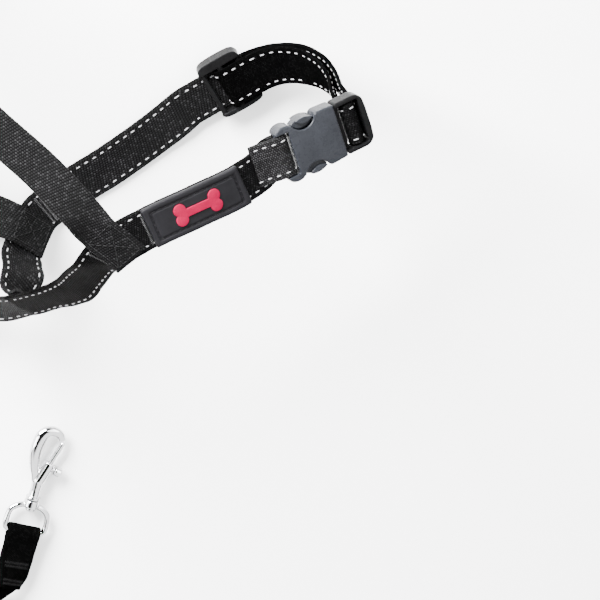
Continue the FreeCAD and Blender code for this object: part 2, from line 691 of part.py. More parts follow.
def level_pad(body, name, x0, x1, y0, y1, z0, z1):
    """A rectangular pad between two heights of the body's own frame."""
    sketch = new_sketch(body, name + "_outline", "XY_Plane")
    sketch.AttachmentOffset = FreeCAD.Placement(Vector(0, 0, z0), FreeCAD.Rotation())
    points = [Vector(x0, y0, 0), Vector(x1, y0, 0), Vector(x1, y1, 0), Vector(x0, y1, 0)]
    for i in range(4):
        sketch.addGeometry(Part.LineSegment(points[i], points[(i + 1) % 4]), False)
    for i in range(4):
        sketch.addConstraint(Sketcher.Constraint("Coincident", i, 2, (i + 1) % 4, 1))
    return pad(body, sketch, name, length=z1 - z0, symmetric=False)


level_pad(slider, "bar_out", -S_HALF, -S_HALF + 2.6, -W_HALF + .2, W_HALF - .2, 1.0, 3.2)
level_pad(slider, "rail_low", -S_HALF, S_HALF, -W_HALF, -W_HALF + RAIL, -1.6, 3.8)
level_pad(slider, "rail_high", -S_HALF, S_HALF, W_HALF - RAIL, W_HALF, -1.6, 3.8)
level_pad(slider, "bar_in", S_HALF - 2.6, S_HALF, -W_HALF + .2, W_HALF - .2, 1.0, 3.2)
level_pad(slider, "bar_middle", -1.5, 1.5, -W_HALF + .2, W_HALF - .2, 2.4, 4.1)
slider.Placement = SLIDER

tail = new_body("slider_strap_tail")
profile = new_sketch(tail, "profile", "XZ_Plane")
fold_profile(profile, -1.5, 3.25, 1.05, 2.25, 12.0, 6.0, -1)
pad(tail, profile, "turn", expression="Sizes.neck_width")
tail.Placement = SLIDER

# ------------------------------------------------------------------- safety link and its trigger snap
SNAP_AXIS = unit(.67, .742, 0)
SNAP = placed(at(-55.2, -138.9, 3.8), SNAP_AXIS, Vector(0, 0, 1))


def on_snap(x, y, z):
    return plain(SNAP.multVec(Vector(x, y, z)))


FLAT = tuple(SNAP.Rotation.multVec(Vector(0, 1, 0)))
EDGE = (0, 0, 1)
LINK = frames([
    (ring_exit("control", CONTROL_LINK), (.423, -.906, 0), outward(CONTROL_LINK)),
    (ring_exit("control", CONTROL_LINK, 6), (.423, -.906, .05)),
    ((-78, 43.5, 6.3), (.35, -.7, .6)),
    ((-86, 32, 7.8), (.1, -.2, .97)),
    ((-92, 10, 8.1), EDGE),
    ((-96.4, -25, 8.1), EDGE),
    ((-99.6, -65, 8.1), EDGE),
    ((-101.6, -100, 8.1), EDGE),
    ((-101.8, -128, 8.1), EDGE),
    ((-98.8, -147, 8.1), EDGE),
    ((-91, -158.5, 8.2), (-.05, .05, 1)),
    ((-82, -161.5, 7.6), (-.3, .4, .86)),
    (on_snap(-21, 0.5, 2.4), (-.55, .66, .3)),
    (on_snap(-12, 0, 0), FLAT),
    (on_snap(-3.3, 0, 0), FLAT, tuple(SNAP_AXIS)),
])
LINK_MID = 7
strap("safety_link_ring_end", part_of(LINK, 0, LINK_MID), width="link_width", ends=("loop_width", None))
strap("safety_link_snap_end", part_of(LINK, LINK_MID, len(LINK) - 1), width="link_width")

eye_loop = new_body("link_eye_loop")
profile = new_sketch(eye_loop, "profile", "XZ_Plane")
for extra in (0.0, size("loop_thick")):
    radius = size("eye_wire") + size("ring_gap") + extra
    profile.addGeometry(Part.Circle(Vector(0, 0, 0), Vector(0, 0, 1), radius), False)
pad(eye_loop, profile, "turn", expression="Sizes.link_width")
eye_loop.Placement = SNAP


def rod(name, start, end, cell):
    """A round bar between two points of the snap's frame."""
    start, end = Vector(*start), Vector(*end)
    bar = doc.addObject("Part::Cylinder", name)
    bar.setExpression("Radius", cell)
    bar.Height = (end - start).Length
    turn = FreeCAD.Rotation(Vector(0, 0, 1), end - start)
    bar.Placement = SNAP.multiply(FreeCAD.Placement(start, turn))
    return bar


def ball(name, centre, cell):
    sphere = doc.addObject("Part::Sphere", name)
    sphere.setExpression("Radius", cell)
    sphere.Placement = SNAP.multiply(FreeCAD.Placement(Vector(*centre), FreeCAD.Rotation()))
    return sphere


def fuse(name, pieces):
    union = doc.addObject("Part::MultiFuse", name)
    union.Shapes = pieces
    return union


def cut(name, base, tool):
    result = doc.addObject("Part::Cut", name)
    result.Base = base
    result.Tool = tool
    return result


def wire_frame(name, points, cell):
    """Round bars between the points, with a ball at each inner corner."""
    pieces = [rod("%s_bar_%d" % (name, i), a, b, cell)
              for i, (a, b) in enumerate(zip(points, points[1:]))]
    pieces += [ball("%s_corner_%d" % (name, i), p, cell) for i, p in enumerate(points)]
    return pieces


EYE = "Sizes.eye_wire"
eye_points = [(13.4, -3.4, 0), (9.5, -7.6, 0), (2.5, -9.2, 0), (0, -9.2, 0), (0, 9.2, 0),
              (2.5, 9.2, 0), (9.5, 7.6, 0), (13.4, 3.4, 0)]
eye_solid = fuse("snap_eye_solid", wire_frame("snap_eye", eye_points, EYE)
                 + [rod("snap_eye_collar", (12.0, 0, 0), (15.6, 0, 0), "Sizes.snap_stem + 2.0")])
keep(cut("snap_eye", eye_solid, rod("snap_eye_bore", (9, 0, 0), (18, 0, 0),
                                    "Sizes.snap_stem + Sizes.swivel_gap")), "snap_eye")

HOOK = Vector(44.4, -.8, 0)
HOOK_R = 5.0
BOLT_START = Vector(24, 0, 0)
BOLT_DIR = unit(.955, -.297)


def along_bolt(distance):
    return tuple(BOLT_START + BOLT_DIR * distance)


hook_start = Vector(26.5, 1.6, 0)
to_centre = HOOK - hook_start
lean = math.atan2(to_centre.y, to_centre.x) + math.asin(HOOK_R / to_centre.Length)
touch = HOOK + Vector(-math.sin(lean), math.cos(lean), 0) * HOOK_R
tip_angle = math.radians(-78)
mid_angle = (math.atan2(touch.y - HOOK.y, touch.x - HOOK.x) + tip_angle) / 2
tip = HOOK + Vector(math.cos(tip_angle), math.sin(tip_angle), 0) * HOOK_R
middle = HOOK + Vector(math.cos(mid_angle), math.sin(mid_angle), 0) * HOOK_R
path = Part.Wire([Part.LineSegment(hook_start, touch).toShape(), Part.Arc(touch, middle, tip).toShape()])
section = Part.Wire([Part.Circle(hook_start, touch - hook_start, size("snap_wire")).toShape()])
hook_wire = doc.addObject("Part::Feature", "snap_hook_wire")
hook_wire.Shape = path.makePipeShell([section], True, False)
hook_wire.Placement = SNAP

snap_pieces = [
    hook_wire,
    rod("snap_head", (10.3, 0, 0), (11.7, 0, 0), "Sizes.snap_stem + 0.9"),
    rod("snap_shaft", (11, 0, 0), (16.6, 0, 0), "Sizes.snap_stem"),
    rod("snap_flange", (15.9, 0, 0), (17.4, 0, 0), "Sizes.snap_barrel + 0.3"),
    rod("snap_neck", (17, 0, 0), (24.5, 0, 0), "Sizes.snap_barrel - 0.5"),
    ball("snap_elbow", (24, 0, 0), "Sizes.snap_barrel"),
    rod("snap_tube", along_bolt(0), along_bolt(11), "Sizes.snap_barrel"),
]
snap_solid = fuse("snap_solid", snap_pieces)
BOLT_GAP = "Sizes.bolt_radius + 0.08"
bore = rod("snap_bore", along_bolt(-1.0), along_bolt(12), BOLT_GAP)
SLOT_W = 2.6
slot = doc.addObject("Part::Box", "snap_slot")
slot.Length, slot.Width, slot.Height = 10.0, 6.0, SLOT_W
BOLT_FRAME = SNAP.multiply(FreeCAD.Placement(BOLT_START, FreeCAD.Rotation(Vector(1, 0, 0), BOLT_DIR)))
slot.Placement = BOLT_FRAME.multiply(FreeCAD.Placement(Vector(0.3, -6, -SLOT_W / 2), FreeCAD.Rotation()))
opened = cut("snap_bored", snap_solid, bore)
keep(cut("snap_body", opened, slot), "snap_body")

BOLT_REST = 8.8
bolt_rod = rod("snap_bolt_rod", along_bolt(6.2), along_bolt(21.2), "Sizes.bolt_radius")
stub_foot = BOLT_START + BOLT_DIR * BOLT_REST
side = Vector(BOLT_DIR.y, -BOLT_DIR.x, 0)
stub = rod("snap_bolt_stub", tuple(stub_foot), tuple(stub_foot + side * 5.2), "Sizes.bolt_radius - 0.2")
knob = rod("snap_bolt_knob", tuple(stub_foot + side * 3.6), tuple(stub_foot + side * 6.6), "Sizes.bolt_radius + 1.0")
keep(fuse("snap_bolt", [bolt_rod, stub, knob]), "snap_bolt")

# ------------------------------------------------------------------------------- checks and export
doc.recompute()
for obj in doc.Objects:
    if "Invalid" in obj.State or "Error" in obj.State:
        raise RuntimeError("%s failed: %s" % (obj.Name, obj.State))
for before, after in cuts:
    if not after.Shape.Volume < before.Shape.Volume - 0.5:
        raise RuntimeError("%s cuts nothing" % after.Name)
for name, obj in kept:
    shape = obj.Shape
    if shape.isNull() or not shape.isValid() or len(shape.Solids) != 1:
        raise RuntimeError("%s is not one valid solid: %d" % (name, len(shape.Solids)))
box = FreeCAD.BoundBox()
for name, obj in kept:
    obj.Shape.exportStep("parts/%s.step" % name)
    box.add(obj.Shape.BoundBox)
print("%d parts, box %s" % (len(kept), box))
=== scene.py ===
"""Looks of the head halter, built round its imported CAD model, in metres and in the part's own frame."""
import bisect
import math

import bmesh
import bpy
from mathutils import Matrix, Vector, noise


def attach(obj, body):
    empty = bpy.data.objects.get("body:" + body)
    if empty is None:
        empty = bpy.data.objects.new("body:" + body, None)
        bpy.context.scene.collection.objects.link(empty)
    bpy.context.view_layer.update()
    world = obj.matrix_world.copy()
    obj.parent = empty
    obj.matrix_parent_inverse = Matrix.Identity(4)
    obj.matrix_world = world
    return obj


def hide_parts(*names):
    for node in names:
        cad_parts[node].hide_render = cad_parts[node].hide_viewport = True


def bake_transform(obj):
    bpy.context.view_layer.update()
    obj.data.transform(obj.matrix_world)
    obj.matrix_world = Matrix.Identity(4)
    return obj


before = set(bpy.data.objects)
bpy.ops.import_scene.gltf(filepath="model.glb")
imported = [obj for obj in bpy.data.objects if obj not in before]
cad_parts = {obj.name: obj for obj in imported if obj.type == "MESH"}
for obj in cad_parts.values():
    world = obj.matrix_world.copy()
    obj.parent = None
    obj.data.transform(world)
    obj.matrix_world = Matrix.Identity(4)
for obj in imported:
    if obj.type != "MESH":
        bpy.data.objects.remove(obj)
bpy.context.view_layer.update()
scene = bpy.context.scene
MM = 0.001
up = Vector((0, 0, 1))

# ------------------------------------------------------------------------------------------- camera
IMAGE_RIGHT = Vector((0.882, -0.4336, 0.184)).normalized()
IMAGE_UP = Vector((0.471, 0.8119, -0.3446)).normalized()
TOWARD_CAMERA = IMAGE_RIGHT.cross(IMAGE_UP).normalized()
AIM = Vector((70.0, -59.8, 85.75)) * MM
FRAME_WIDTH = 266.7 * MM
LENS, SENSOR = 800.0, 36.0

camera_data = bpy.data.cameras.new("camera")
camera_data.lens = LENS
camera_data.sensor_width = SENSOR
camera_data.clip_end = 200.0
camera = bpy.data.objects.new("camera", camera_data)
scene.collection.objects.link(camera)
turn = Matrix((IMAGE_RIGHT, TOWARD_CAMERA.cross(IMAGE_RIGHT), TOWARD_CAMERA)).transposed()
place = AIM + TOWARD_CAMERA * (FRAME_WIDTH * LENS / SENSOR)
camera.matrix_world = Matrix.Translation(place) @ turn.to_4x4()
scene.camera = camera


# ---------------------------------------------------------------------------------------- materials
def node(tree, kind, inputs=None, **settings):
    """A shader node with its settings, and its inputs set or linked."""
    made = tree.nodes.new(kind)
    for key, value in settings.items():
        setattr(made, key, value)
    for key, value in (inputs or {}).items():
        if isinstance(value, bpy.types.NodeSocket):
            tree.links.new(value, made.inputs[key])
        else:
            made.inputs[key].default_value = value
    return made


def calc(tree, operation, *values):
    return node(tree, "ShaderNodeMath", dict(enumerate(values)), operation=operation).outputs[0]


def blank(name, **surface):
    """A material with its surface shader's plain values set on the shader itself."""
    material = bpy.data.materials.new(name)
    material.use_nodes = True
    shader = material.node_tree.nodes["Principled BSDF"]
    for key, value in surface.items():
        shader.inputs[key.replace("_", " ")].default_value = value
    return material, material.node_tree, shader


def grain(tree, scale, detail=3.0, roughness=0.6):
    """Noise over the object's own coordinates; scale is in cycles to the metre."""
    where = node(tree, "ShaderNodeTexCoord").outputs["Object"]
    return node(tree, "ShaderNodeTexNoise", {"Vector": where, "Scale": scale, "Detail": detail,
                                             "Roughness": roughness}).outputs["Fac"]


def ramp(tree, value, *stops):
    made = node(tree, "ShaderNodeValToRGB", {"Fac": value})
    while len(made.color_ramp.elements) < len(stops):
        made.color_ramp.elements.new(0.5)
    for element, (position, colour) in zip(made.color_ramp.elements, stops):
        element.position = position
        element.color = (*colour, 1)
    return made.outputs["Color"]


def mixed(tree, factor, first, second):
    made = node(tree, "ShaderNodeMix", {"Factor": factor}, data_type="RGBA")
    for index, value in ((6, first), (7, second)):
        if isinstance(value, bpy.types.NodeSocket):
            tree.links.new(value, made.inputs[index])
        else:
            made.inputs[index].default_value = (*value, 1)
    return made.outputs[2]


def bumped(tree, shader, height, strength, distance):
    bump = node(tree, "ShaderNodeBump", {"Height": height, "Strength": strength, "Distance": distance})
    tree.links.new(bump.outputs[0], shader.inputs["Normal"])


def woven(name, dark, thread, glint, along, across, rough=0.6, relief=0.0002, glint_rarity=0.75, specular=0.03,
          step=0.5):
    """Webbing: warp threads crossing wefts in a broken twill, laid out by the map "Weave" in mm, with painted
    shade in the gaps between threads and a painted highlight on the crowns of some.
    """
    material, tree, shader = blank(name, Specular_IOR_Level=specular)
    layout = node(tree, "ShaderNodeUVMap", uv_map="Weave").outputs[0]
    split = node(tree, "ShaderNodeSeparateXYZ", {0: layout})
    wobble = grain(tree, 900, 2.0)
    x = calc(tree, "ADD", split.outputs[0], calc(tree, "MULTIPLY", wobble, 0.22))
    y = calc(tree, "ADD", split.outputs[1], calc(tree, "MULTIPLY", wobble, 0.12))
    column = calc(tree, "DIVIDE", y, across)
    shift = calc(tree, "MULTIPLY", calc(tree, "FLOOR", column), step)
    row = calc(tree, "ADD", calc(tree, "DIVIDE", x, along), shift)
    crown_x = calc(tree, "ABSOLUTE", calc(tree, "SINE", calc(tree, "MULTIPLY", row, math.pi)))
    crown_y = calc(tree, "ABSOLUTE", calc(tree, "SINE", calc(tree, "MULTIPLY", column, math.pi)))
    crown = calc(tree, "MULTIPLY", calc(tree, "POWER", crown_x, 0.8), calc(tree, "POWER", crown_y, 0.6))
    # Painted highlight: random threads are painted lighter, most on their crowns.
    cell = node(tree, "ShaderNodeCombineXYZ", {0: calc(tree, "FLOOR", row), 1: calc(tree, "FLOOR", column)})
    chance = node(tree, "ShaderNodeTexWhiteNoise", {"Vector": cell.outputs[0]},
                  noise_dimensions="2D").outputs["Value"]
    # Painted shade: the colour runs from near black in the gaps between threads to the thread's colour on
    # their crowns.
    base = mixed(tree, ramp(tree, crown, (0.15, (0, 0, 0)), (0.85, (1, 1, 1))), dark, thread)
    glint_mask = calc(tree, "MULTIPLY", calc(tree, "GREATER_THAN", chance, glint_rarity),
                  calc(tree, "POWER", crown, 2.0))
    colour = mixed(tree, calc(tree, "MULTIPLY", glint_mask, 0.8), base, glint)
    wear = ramp(tree, grain(tree, 60, 4.0), (0.3, (0.75, 0.75, 0.75)), (0.7, (1.2, 1.2, 1.22)))
    shade = node(tree, "ShaderNodeMix", {"Factor": 1.0}, data_type="RGBA", blend_type="MULTIPLY")
    tree.links.new(colour, shade.inputs[6])
    tree.links.new(wear, shade.inputs[7])
    tree.links.new(shade.outputs[2], shader.inputs["Base Color"])
    tree.links.new(calc(tree, "SUBTRACT", rough + 0.12, calc(tree, "MULTIPLY", crown, 0.2)),
                   shader.inputs["Roughness"])
    bumped(tree, shader, crown, 0.9, relief)
    return material


def moulded(name, low, high, rough, relief, specular, scale=9000):
    """Moulded plastic or rubber: fine spark-eroded grain, faint flow marks and rubbed patches."""
    material, tree, shader = blank(name, Specular_IOR_Level=specular)
    colour = ramp(tree, grain(tree, 130, 5.0, 0.7), (0.3, low), (0.7, high))
    tree.links.new(colour, shader.inputs["Base Color"])
    gloss = ramp(tree, grain(tree, 420, 4.0), (0.3, (rough - 0.05,) * 3), (0.72, (rough + 0.09,) * 3))
    tree.links.new(gloss, shader.inputs["Roughness"])
    bumped(tree, shader, grain(tree, scale, 2.0), 0.35, relief)
    return material


def plated(name):
    """Polished nickel plate with hairline handling marks."""
    material, tree, shader = blank(name, Metallic=1.0, Specular_IOR_Level=0.5)
    tree.links.new(ramp(tree, grain(tree, 90, 3.0), (0.3, (0.58, 0.58, 0.59)), (0.7, (0.72, 0.72, 0.73))),
                   shader.inputs["Base Color"])
    tree.links.new(ramp(tree, grain(tree, 700, 5.0), (0.35, (0.04,) * 3), (0.75, (0.10,) * 3)),
                   shader.inputs["Roughness"])
    bumped(tree, shader, grain(tree, 260, 2.0), 0.12, 0.0001)
    return material


def yarn(name, dark, light, rough=0.5, sheen=0.05, specular=0.3):
    """Sewing thread: a fine twist along each stitch."""
    material, tree, shader = blank(name, Sheen_Weight=sheen, Specular_IOR_Level=specular, Roughness=rough)
    strands = grain(tree, 5200, 2.0)
    tree.links.new(ramp(tree, strands, (0.35, dark), (0.6, light)), shader.inputs["Base Color"])
    bumped(tree, shader, strands, 0.5, 0.0001)
    return material


def knitted(name):
    """Neoprene faced with a fine warp knit."""
    material, tree, shader = blank(name, Sheen_Weight=0.03, Sheen_Roughness=0.5, Roughness=0.85,
                                   Specular_IOR_Level=0.1)
    cells = node(tree, "ShaderNodeTexVoronoi", {
        "Vector": node(tree, "ShaderNodeTexCoord").outputs["Object"], "Scale": 1500.0}).outputs["Distance"]
    tree.links.new(ramp(tree, cells, (0.1, (0.004, 0.004, 0.0042)), (0.6, (0.011, 0.011, 0.0115))),
                   shader.inputs["Base Color"])
    bumped(tree, shader, cells, 0.6, 0.0002)
    return material


def grey(value, blue=None):
    """A grey, a little bluer where blue is given."""
    return (value, value, blue or value)


BLACK = woven("webbing_black", grey(0.0001), grey(0.0020, 0.0021), grey(0.009, 0.0092),
              along=1.15, across=0.95, step=0.33, specular=0.02, relief=0.0003)
PLAIN = woven("webbing_twill", grey(0.0001), grey(0.0038, 0.0039), grey(0.014, 0.0143),
              along=1.35, across=1.05, glint_rarity=0.78, step=0.28, specular=0.03, relief=0.00035)
COARSE = woven("webbing_coarse", grey(0.0003), grey(0.0085, 0.0087), grey(0.024, 0.0246),
               along=1.1, across=1.0, relief=0.0004, glint_rarity=0.45)
# A darker, matt copy of the black webbing: painted shade on the adjusting loop, which carries the neck strap's
# webbing; the safety link's webbing shares it.
LINK_WEBBING_AND_LOOP_SHADE = woven("webbing_link_and_painted_shade", grey(0.0003), grey(0.0010), grey(0.003),
               along=0.9, across=0.7, rough=0.5, specular=0.0)
# A darker copy of the black webbing: painted shade on the near neck strap's throat length.
BLACK_PAINTED_SHADE = woven("webbing_black_painted_shade", grey(0.0001), grey(0.0014), grey(0.0055, 0.0056),
                along=1.15, across=0.95, step=0.33, specular=0.008, relief=0.0003)
REFLECTIVE = yarn("thread_reflective", grey(0.08, 0.083), grey(0.22, 0.225), rough=0.45)
THREAD = yarn("thread_black", grey(0.0015), grey(0.008, 0.0083), sheen=0.0, specular=0.08)
TACK_THREAD = yarn("thread_grey", grey(0.02, 0.0205), grey(0.09, 0.092), sheen=0.0, specular=0.15)
DARK_THREAD = yarn("thread_dark", grey(0.0008, 0.001), grey(0.003, 0.0035), sheen=0.0, specular=0.08)
BUCKLE_PLASTIC = moulded("plastic_charcoal", (0.0068, 0.0075, 0.0094), (0.0113, 0.0122, 0.0149),
                         0.27, 0.00003, specular=0.10)
# The slider's own darker plastic; on the buckle's male half it is painted shade.
DARK_PLASTIC_AND_SHADE = moulded("plastic_dark", grey(0.0018, 0.0019), grey(0.0034, 0.0036),
                         0.28, 0.00003, specular=0.03)
RUBBER = moulded("rubber_charcoal", (0.0030, 0.0029, 0.0035), (0.0050, 0.0048, 0.0057),
                 0.55, 0.00008, specular=0.06, scale=6000)
RED = moulded("rubber_red", (0.115, 0.0002, 0.0130), (0.165, 0.0005, 0.0200), 0.5, 0.00004, specular=0.03)
CHROME = plated("nickel_plate")
KNIT = knitted("knit_neoprene")


# --------------------------------------------------------------------------------------- mesh tools
def new_piece(name, bm, *materials, smooth=True, angle=None):
    mesh = bpy.data.meshes.new(name)
    bm.normal_update()
    bm.to_mesh(mesh)
    bm.free()
    for material in materials:
        mesh.materials.append(material)
    if smooth:
        mesh.shade_smooth()
    if angle is not None:
        mesh.set_sharp_from_angle(angle=math.radians(angle))
    piece = bpy.data.objects.new(name, mesh)
    scene.collection.objects.link(piece)
    return piece


def applied(piece):
    """The piece with its modifiers made part of its mesh."""
    graph = bpy.context.evaluated_depsgraph_get()
    mesh = bpy.data.meshes.new_from_object(piece.evaluated_get(graph))
    old = piece.data
    piece.modifiers.clear()
    piece.data = mesh
    bpy.data.meshes.remove(old)
    return piece


def skin(bm, rings):
    """Faces between neighbouring closed rings of vertices."""
    made = []
    for lower, upper in zip(rings, rings[1:]):
        count = len(lower)
        for j in range(count):
            after = (j + 1) % count
            made.append(bm.faces.new((lower[j], lower[after], upper[after], upper[j])))
    return made


def closed(bm, rings):
    """A skin with both its ends closed."""
    return skin(bm, rings) + [bm.faces.new(tuple(reversed(rings[0]))), bm.faces.new(tuple(rings[-1]))]


def row_between(point, tangent, width):
    """A strap's row from a point, its tangent and a width direction that is squared to it."""
    width = (width - tangent * width.dot(tangent)).normalized()
    return (point, tangent, width, tangent.cross(width))


def rows_through(points, widths):
    """Rows along a line of points, with a width direction at each."""
    last = len(points) - 1
    return [row_between(point, (points[min(i + 1, last)] - points[max(i - 1, 0)]).normalized(), width)
            for i, (point, width) in enumerate(zip(points, widths))]


def dress(piece, body, slot_name, *nodes):
    """Put a finished piece on its body and let it stand for its CAD nodes, which it hides; slot_name is not
    used.
    """
    if body:
        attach(piece, body)
    if nodes:
        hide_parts(*nodes)
    return piece


# The throat of the neck loop, which the stations below are given from, in the part's own frame in mm.
SHIFT_X, SHIFT_Y, LIFT = 34.3, -8.2, -0.055


def at(x, y, z):
    """A point given in mm from the throat of the neck loop, in the part's own frame."""
    return Vector((x - SHIFT_X, y - SHIFT_Y, z + LIFT)) * MM


def plain(point):
    """Undo at()."""
    return (point.x / MM + SHIFT_X, point.y / MM + SHIFT_Y, point.z / MM - LIFT)


class Local:
    """A small frame of its own, in mm, for a moulded or metal part."""

    def __init__(self, origin, x_axis, z_axis):
        x_axis = Vector(x_axis).normalized()
        z_axis = Vector(z_axis)
        z_axis = (z_axis - x_axis * z_axis.dot(x_axis)).normalized()
        self.x, self.y, self.z = x_axis, z_axis.cross(x_axis), z_axis
        turned = Matrix((self.x, self.y, self.z)).transposed().to_4x4()
        self.matrix = Matrix.Translation(origin) @ turned @ Matrix.Scale(MM, 4)

    def __call__(self, x, y, z):
        """A point of this frame, given from the throat like a strap's station."""
        return plain(self.matrix @ Vector((x, y, z)))


def frames(stations):
    """(point, tangent, width direction, normal) at each station: (centre, width direction[, tangent])."""
    points = [at(*station[0]) for station in stations]
    last = len(points) - 1
    result = []
    for i, station in enumerate(stations):
        if i == 0:
            tangent = (points[1] - points[0]) * 2 - (points[2] - points[0]) * 0.5
        elif i == last:
            tangent = (points[last] - points[last - 1]) * 2 - (points[last] - points[last - 2]) * 0.5
        else:
            back = (points[i] - points[i - 1]).length
            forth = (points[i + 1] - points[i]).length
            tangent = ((points[i] - points[i - 1]) * (forth / back)
                       + (points[i + 1] - points[i]) * (back / forth))
        if len(station) == 3:
            tangent = Vector(station[2])
        result.append(row_between(points[i], tangent.normalized(), Vector(station[1])))
    return result


def hermite(start, start_slope, end, end_slope, share):
    square, cube = share ** 2, share ** 3
    return (start * (2 * cube - 3 * square + 1) + start_slope * (cube - 2 * square + share)
            + end * (3 * square - 2 * cube) + end_slope * (cube - square))


class Ribbon:
    """A strap's middle surface: s runs along it, y across it and h off its face, all in metres."""

    def __init__(self, coarse, step=0.0011):
        self.rows = [coarse[0]]
        for (start, start_tangent, start_width, _), last in zip(coarse, coarse[1:]):
            end, end_tangent, end_width, _ = last
            chord = (end - start).length
            turning = max(start_tangent.angle(end_tangent), start_width.angle(end_width))
            count = max(1, math.ceil(chord / step), math.ceil(turning / math.radians(5)))
            for i in range(1, count):
                share = i / count
                ease = share * share * (3 - 2 * share)
                point = hermite(start, start_tangent * chord, end, end_tangent * chord, share)
                ahead = hermite(start, start_tangent * chord, end, end_tangent * chord, share + 0.01)
                tangent = (ahead - point).normalized()
                self.rows.append(row_between(point, tangent, start_width * (1 - ease) + end_width * ease))
            self.rows.append(last)
        self.reach = [0.0]
        for one, two in zip(self.rows, self.rows[1:]):
            self.reach.append(self.reach[-1] + (two[0] - one[0]).length)
        self.length = self.reach[-1]

    def row(self, s):
        """The frame at a distance along the strap, going straight on past either end."""
        if s <= 0 or s >= self.length:
            point, tangent, width, normal = self.rows[0 if s <= 0 else -1]
            beyond = s if s <= 0 else s - self.length
            return point + tangent * beyond, tangent, width, normal
        high = bisect.bisect_right(self.reach, s)
        low = high - 1
        share = (s - self.reach[low]) / max(self.reach[high] - self.reach[low], 1e-9)
        blend = [a.lerp(b, share) for a, b in zip(self.rows[low], self.rows[high])]
        return blend[0], blend[1].normalized(), blend[2].normalized(), blend[3].normalized()

    def place(self, s, y, h):
        point, _, width, normal = self.row(s)
        return point + width * y + normal * h


def section(width, thick):
    """The outline of webbing, with full round selvedges: (y, h, distance round) from the lower middle."""
    half, rim = width / 2, thick / 2
    ledge = half - rim
    flat = 7
    points = [(ledge * i / flat, -rim) for i in range(flat)]
    points += [(ledge + rim * math.sin(a), -rim * math.cos(a)) for a in
               (math.pi * i / 8 for i in range(9))]
    points += [(ledge * (flat - 1 - i) / flat, rim) for i in range(flat)]
    points += [(-y, h) for y, h in reversed(points[1:-1])]
    out, travelled = [], 0.0
    for i, (y, h) in enumerate(points + points[:1]):
        if i:
            travelled += math.hypot(y - out[-1][0], h - out[-1][1])
        out.append((y, h, travelled))
    return out


def add_webbing(bm, ribbon, width, thick, ends=(None, None), span=None, taper=0.010):
    """Sweep webbing along a ribbon; ends gives a narrower width at either end."""
    layout = bm.loops.layers.uv.get("Weave") or bm.loops.layers.uv.new("Weave")
    first, last = span or (0.0, ribbon.length)
    count = max(2, math.ceil((last - first) / 0.0011))
    outline = section(width, thick)
    rings = []
    for i in range(count + 1):
        s = first + (last - first) * i / count
        narrow = 1.0
        for end, far in ((ends[0], s - first), (ends[1], last - s)):
            if end and far < taper:
                share = far / taper
                narrow = min(narrow, (end + (width - end) * share * share * (3 - 2 * share)) / width)
        wave = 1 + 0.006 * math.sin(s * 2300) + 0.010 * noise.noise(Vector((s * 260, width * 900, 3.1)))
        ring = []
        for y, h, _ in outline[:-1]:
            ripple = 0.00007 * noise.noise(Vector((s * 150, y * 210, thick * 9000)))
            ring.append(bm.verts.new(ribbon.place(s, y * narrow * wave, h + ripple)))
        rings.append((s, ring))
    size = len(outline) - 1
    for (s0, lower), (s1, upper) in zip(rings, rings[1:]):
        for j in range(size):
            face = bm.faces.new((lower[j], lower[(j + 1) % size], upper[(j + 1) % size], upper[j]))
            places = ((s0, j), (s0, j + 1), (s1, j + 1), (s1, j))
            for loop, (s, k) in zip(face.loops, places):
                loop[layout].uv = (s / MM, outline[k][2] / MM)
    for (s, ring), flip in ((rings[0], False), (rings[-1], True)):
        middle = bm.verts.new(sum((v.co for v in ring), Vector()) / size)
        for j in range(size):
            pair = (ring[j], ring[(j + 1) % size])
            face = bm.faces.new((middle, *(pair if flip else reversed(pair))))
            for loop in face.loops:
                loop[layout].uv = (s / MM, loop.vert.index * 0.4)


def add_thread(bm, ribbon, route, h, half_wide, half_high, material, side=1):
    """A stitch lying on the strap's face along a route of (s, y) points."""
    middle = [ribbon.place(s, y, h) for s, y in route]
    normals = [ribbon.row(s)[3] * side for s, _ in route]
    rings = []
    last = len(middle) - 1
    for i, (point, normal) in enumerate(zip(middle, normals)):
        tangent = (middle[min(i + 1, last)] - middle[max(i - 1, 0)]).normalized()
        across = normal.cross(tangent).normalized()
        full = 0.35 if i in (0, last) else 1.0
        ring = [bm.verts.new(point + across * (half_wide * full * math.cos(a))
                             + normal * (half_high * full * math.sin(a)))
                for a in (math.tau * k / 8 for k in range(8))]
        rings.append(ring)
    for face in closed(bm, rings):
        face.material_index = material


DASH_PITCH, DASH, DASH_HALF_WIDE, DASH_HALF_HIGH = 0.0043, 0.0019, 0.00033, 0.0002


def add_dashes(bm, ribbon, y, thick, material, span=None, sides=(1, -1), phase=0.0):
    """A row of running stitches on one or both faces."""
    first, last = span or (0.0, ribbon.length)
    for side in sides:
        s = first + phase + (0.0 if side > 0 else DASH_PITCH / 2)
        while s + DASH < last:
            jitter = 0.00012 * noise.noise(Vector((s * 900, y * 500, side)))
            if s > first + 0.0003:
                route = [(s + DASH * t, y + jitter) for t in (0, 0.12, 0.38, 0.62, 0.88, 1.0)]
                add_thread(bm, ribbon, route, side * (thick / 2 + 0.00006), DASH_HALF_WIDE, DASH_HALF_HIGH,
                           material, side=side)
            s += DASH_PITCH


def add_run(bm, ribbon, start, end, h, material, pitch=0.0027, length=0.0021, half_wide=0.0002):
    """A straight line of short stitches between two (s, y) points."""
    gap = Vector((end[0] - start[0], end[1] - start[1]))
    count = max(1, round(gap.length / pitch))
    for i in range(count):
        a = (i + 0.5 - length / pitch / 2) / count
        b = (i + 0.5 + length / pitch / 2) / count
        route = [(start[0] + gap.x * t, start[1] + gap.y * t) for t in
                 (a, a + (b - a) * 0.2, a + (b - a) * 0.8, b)]
        add_thread(bm, ribbon, route, h, half_wide, 0.00018, material)


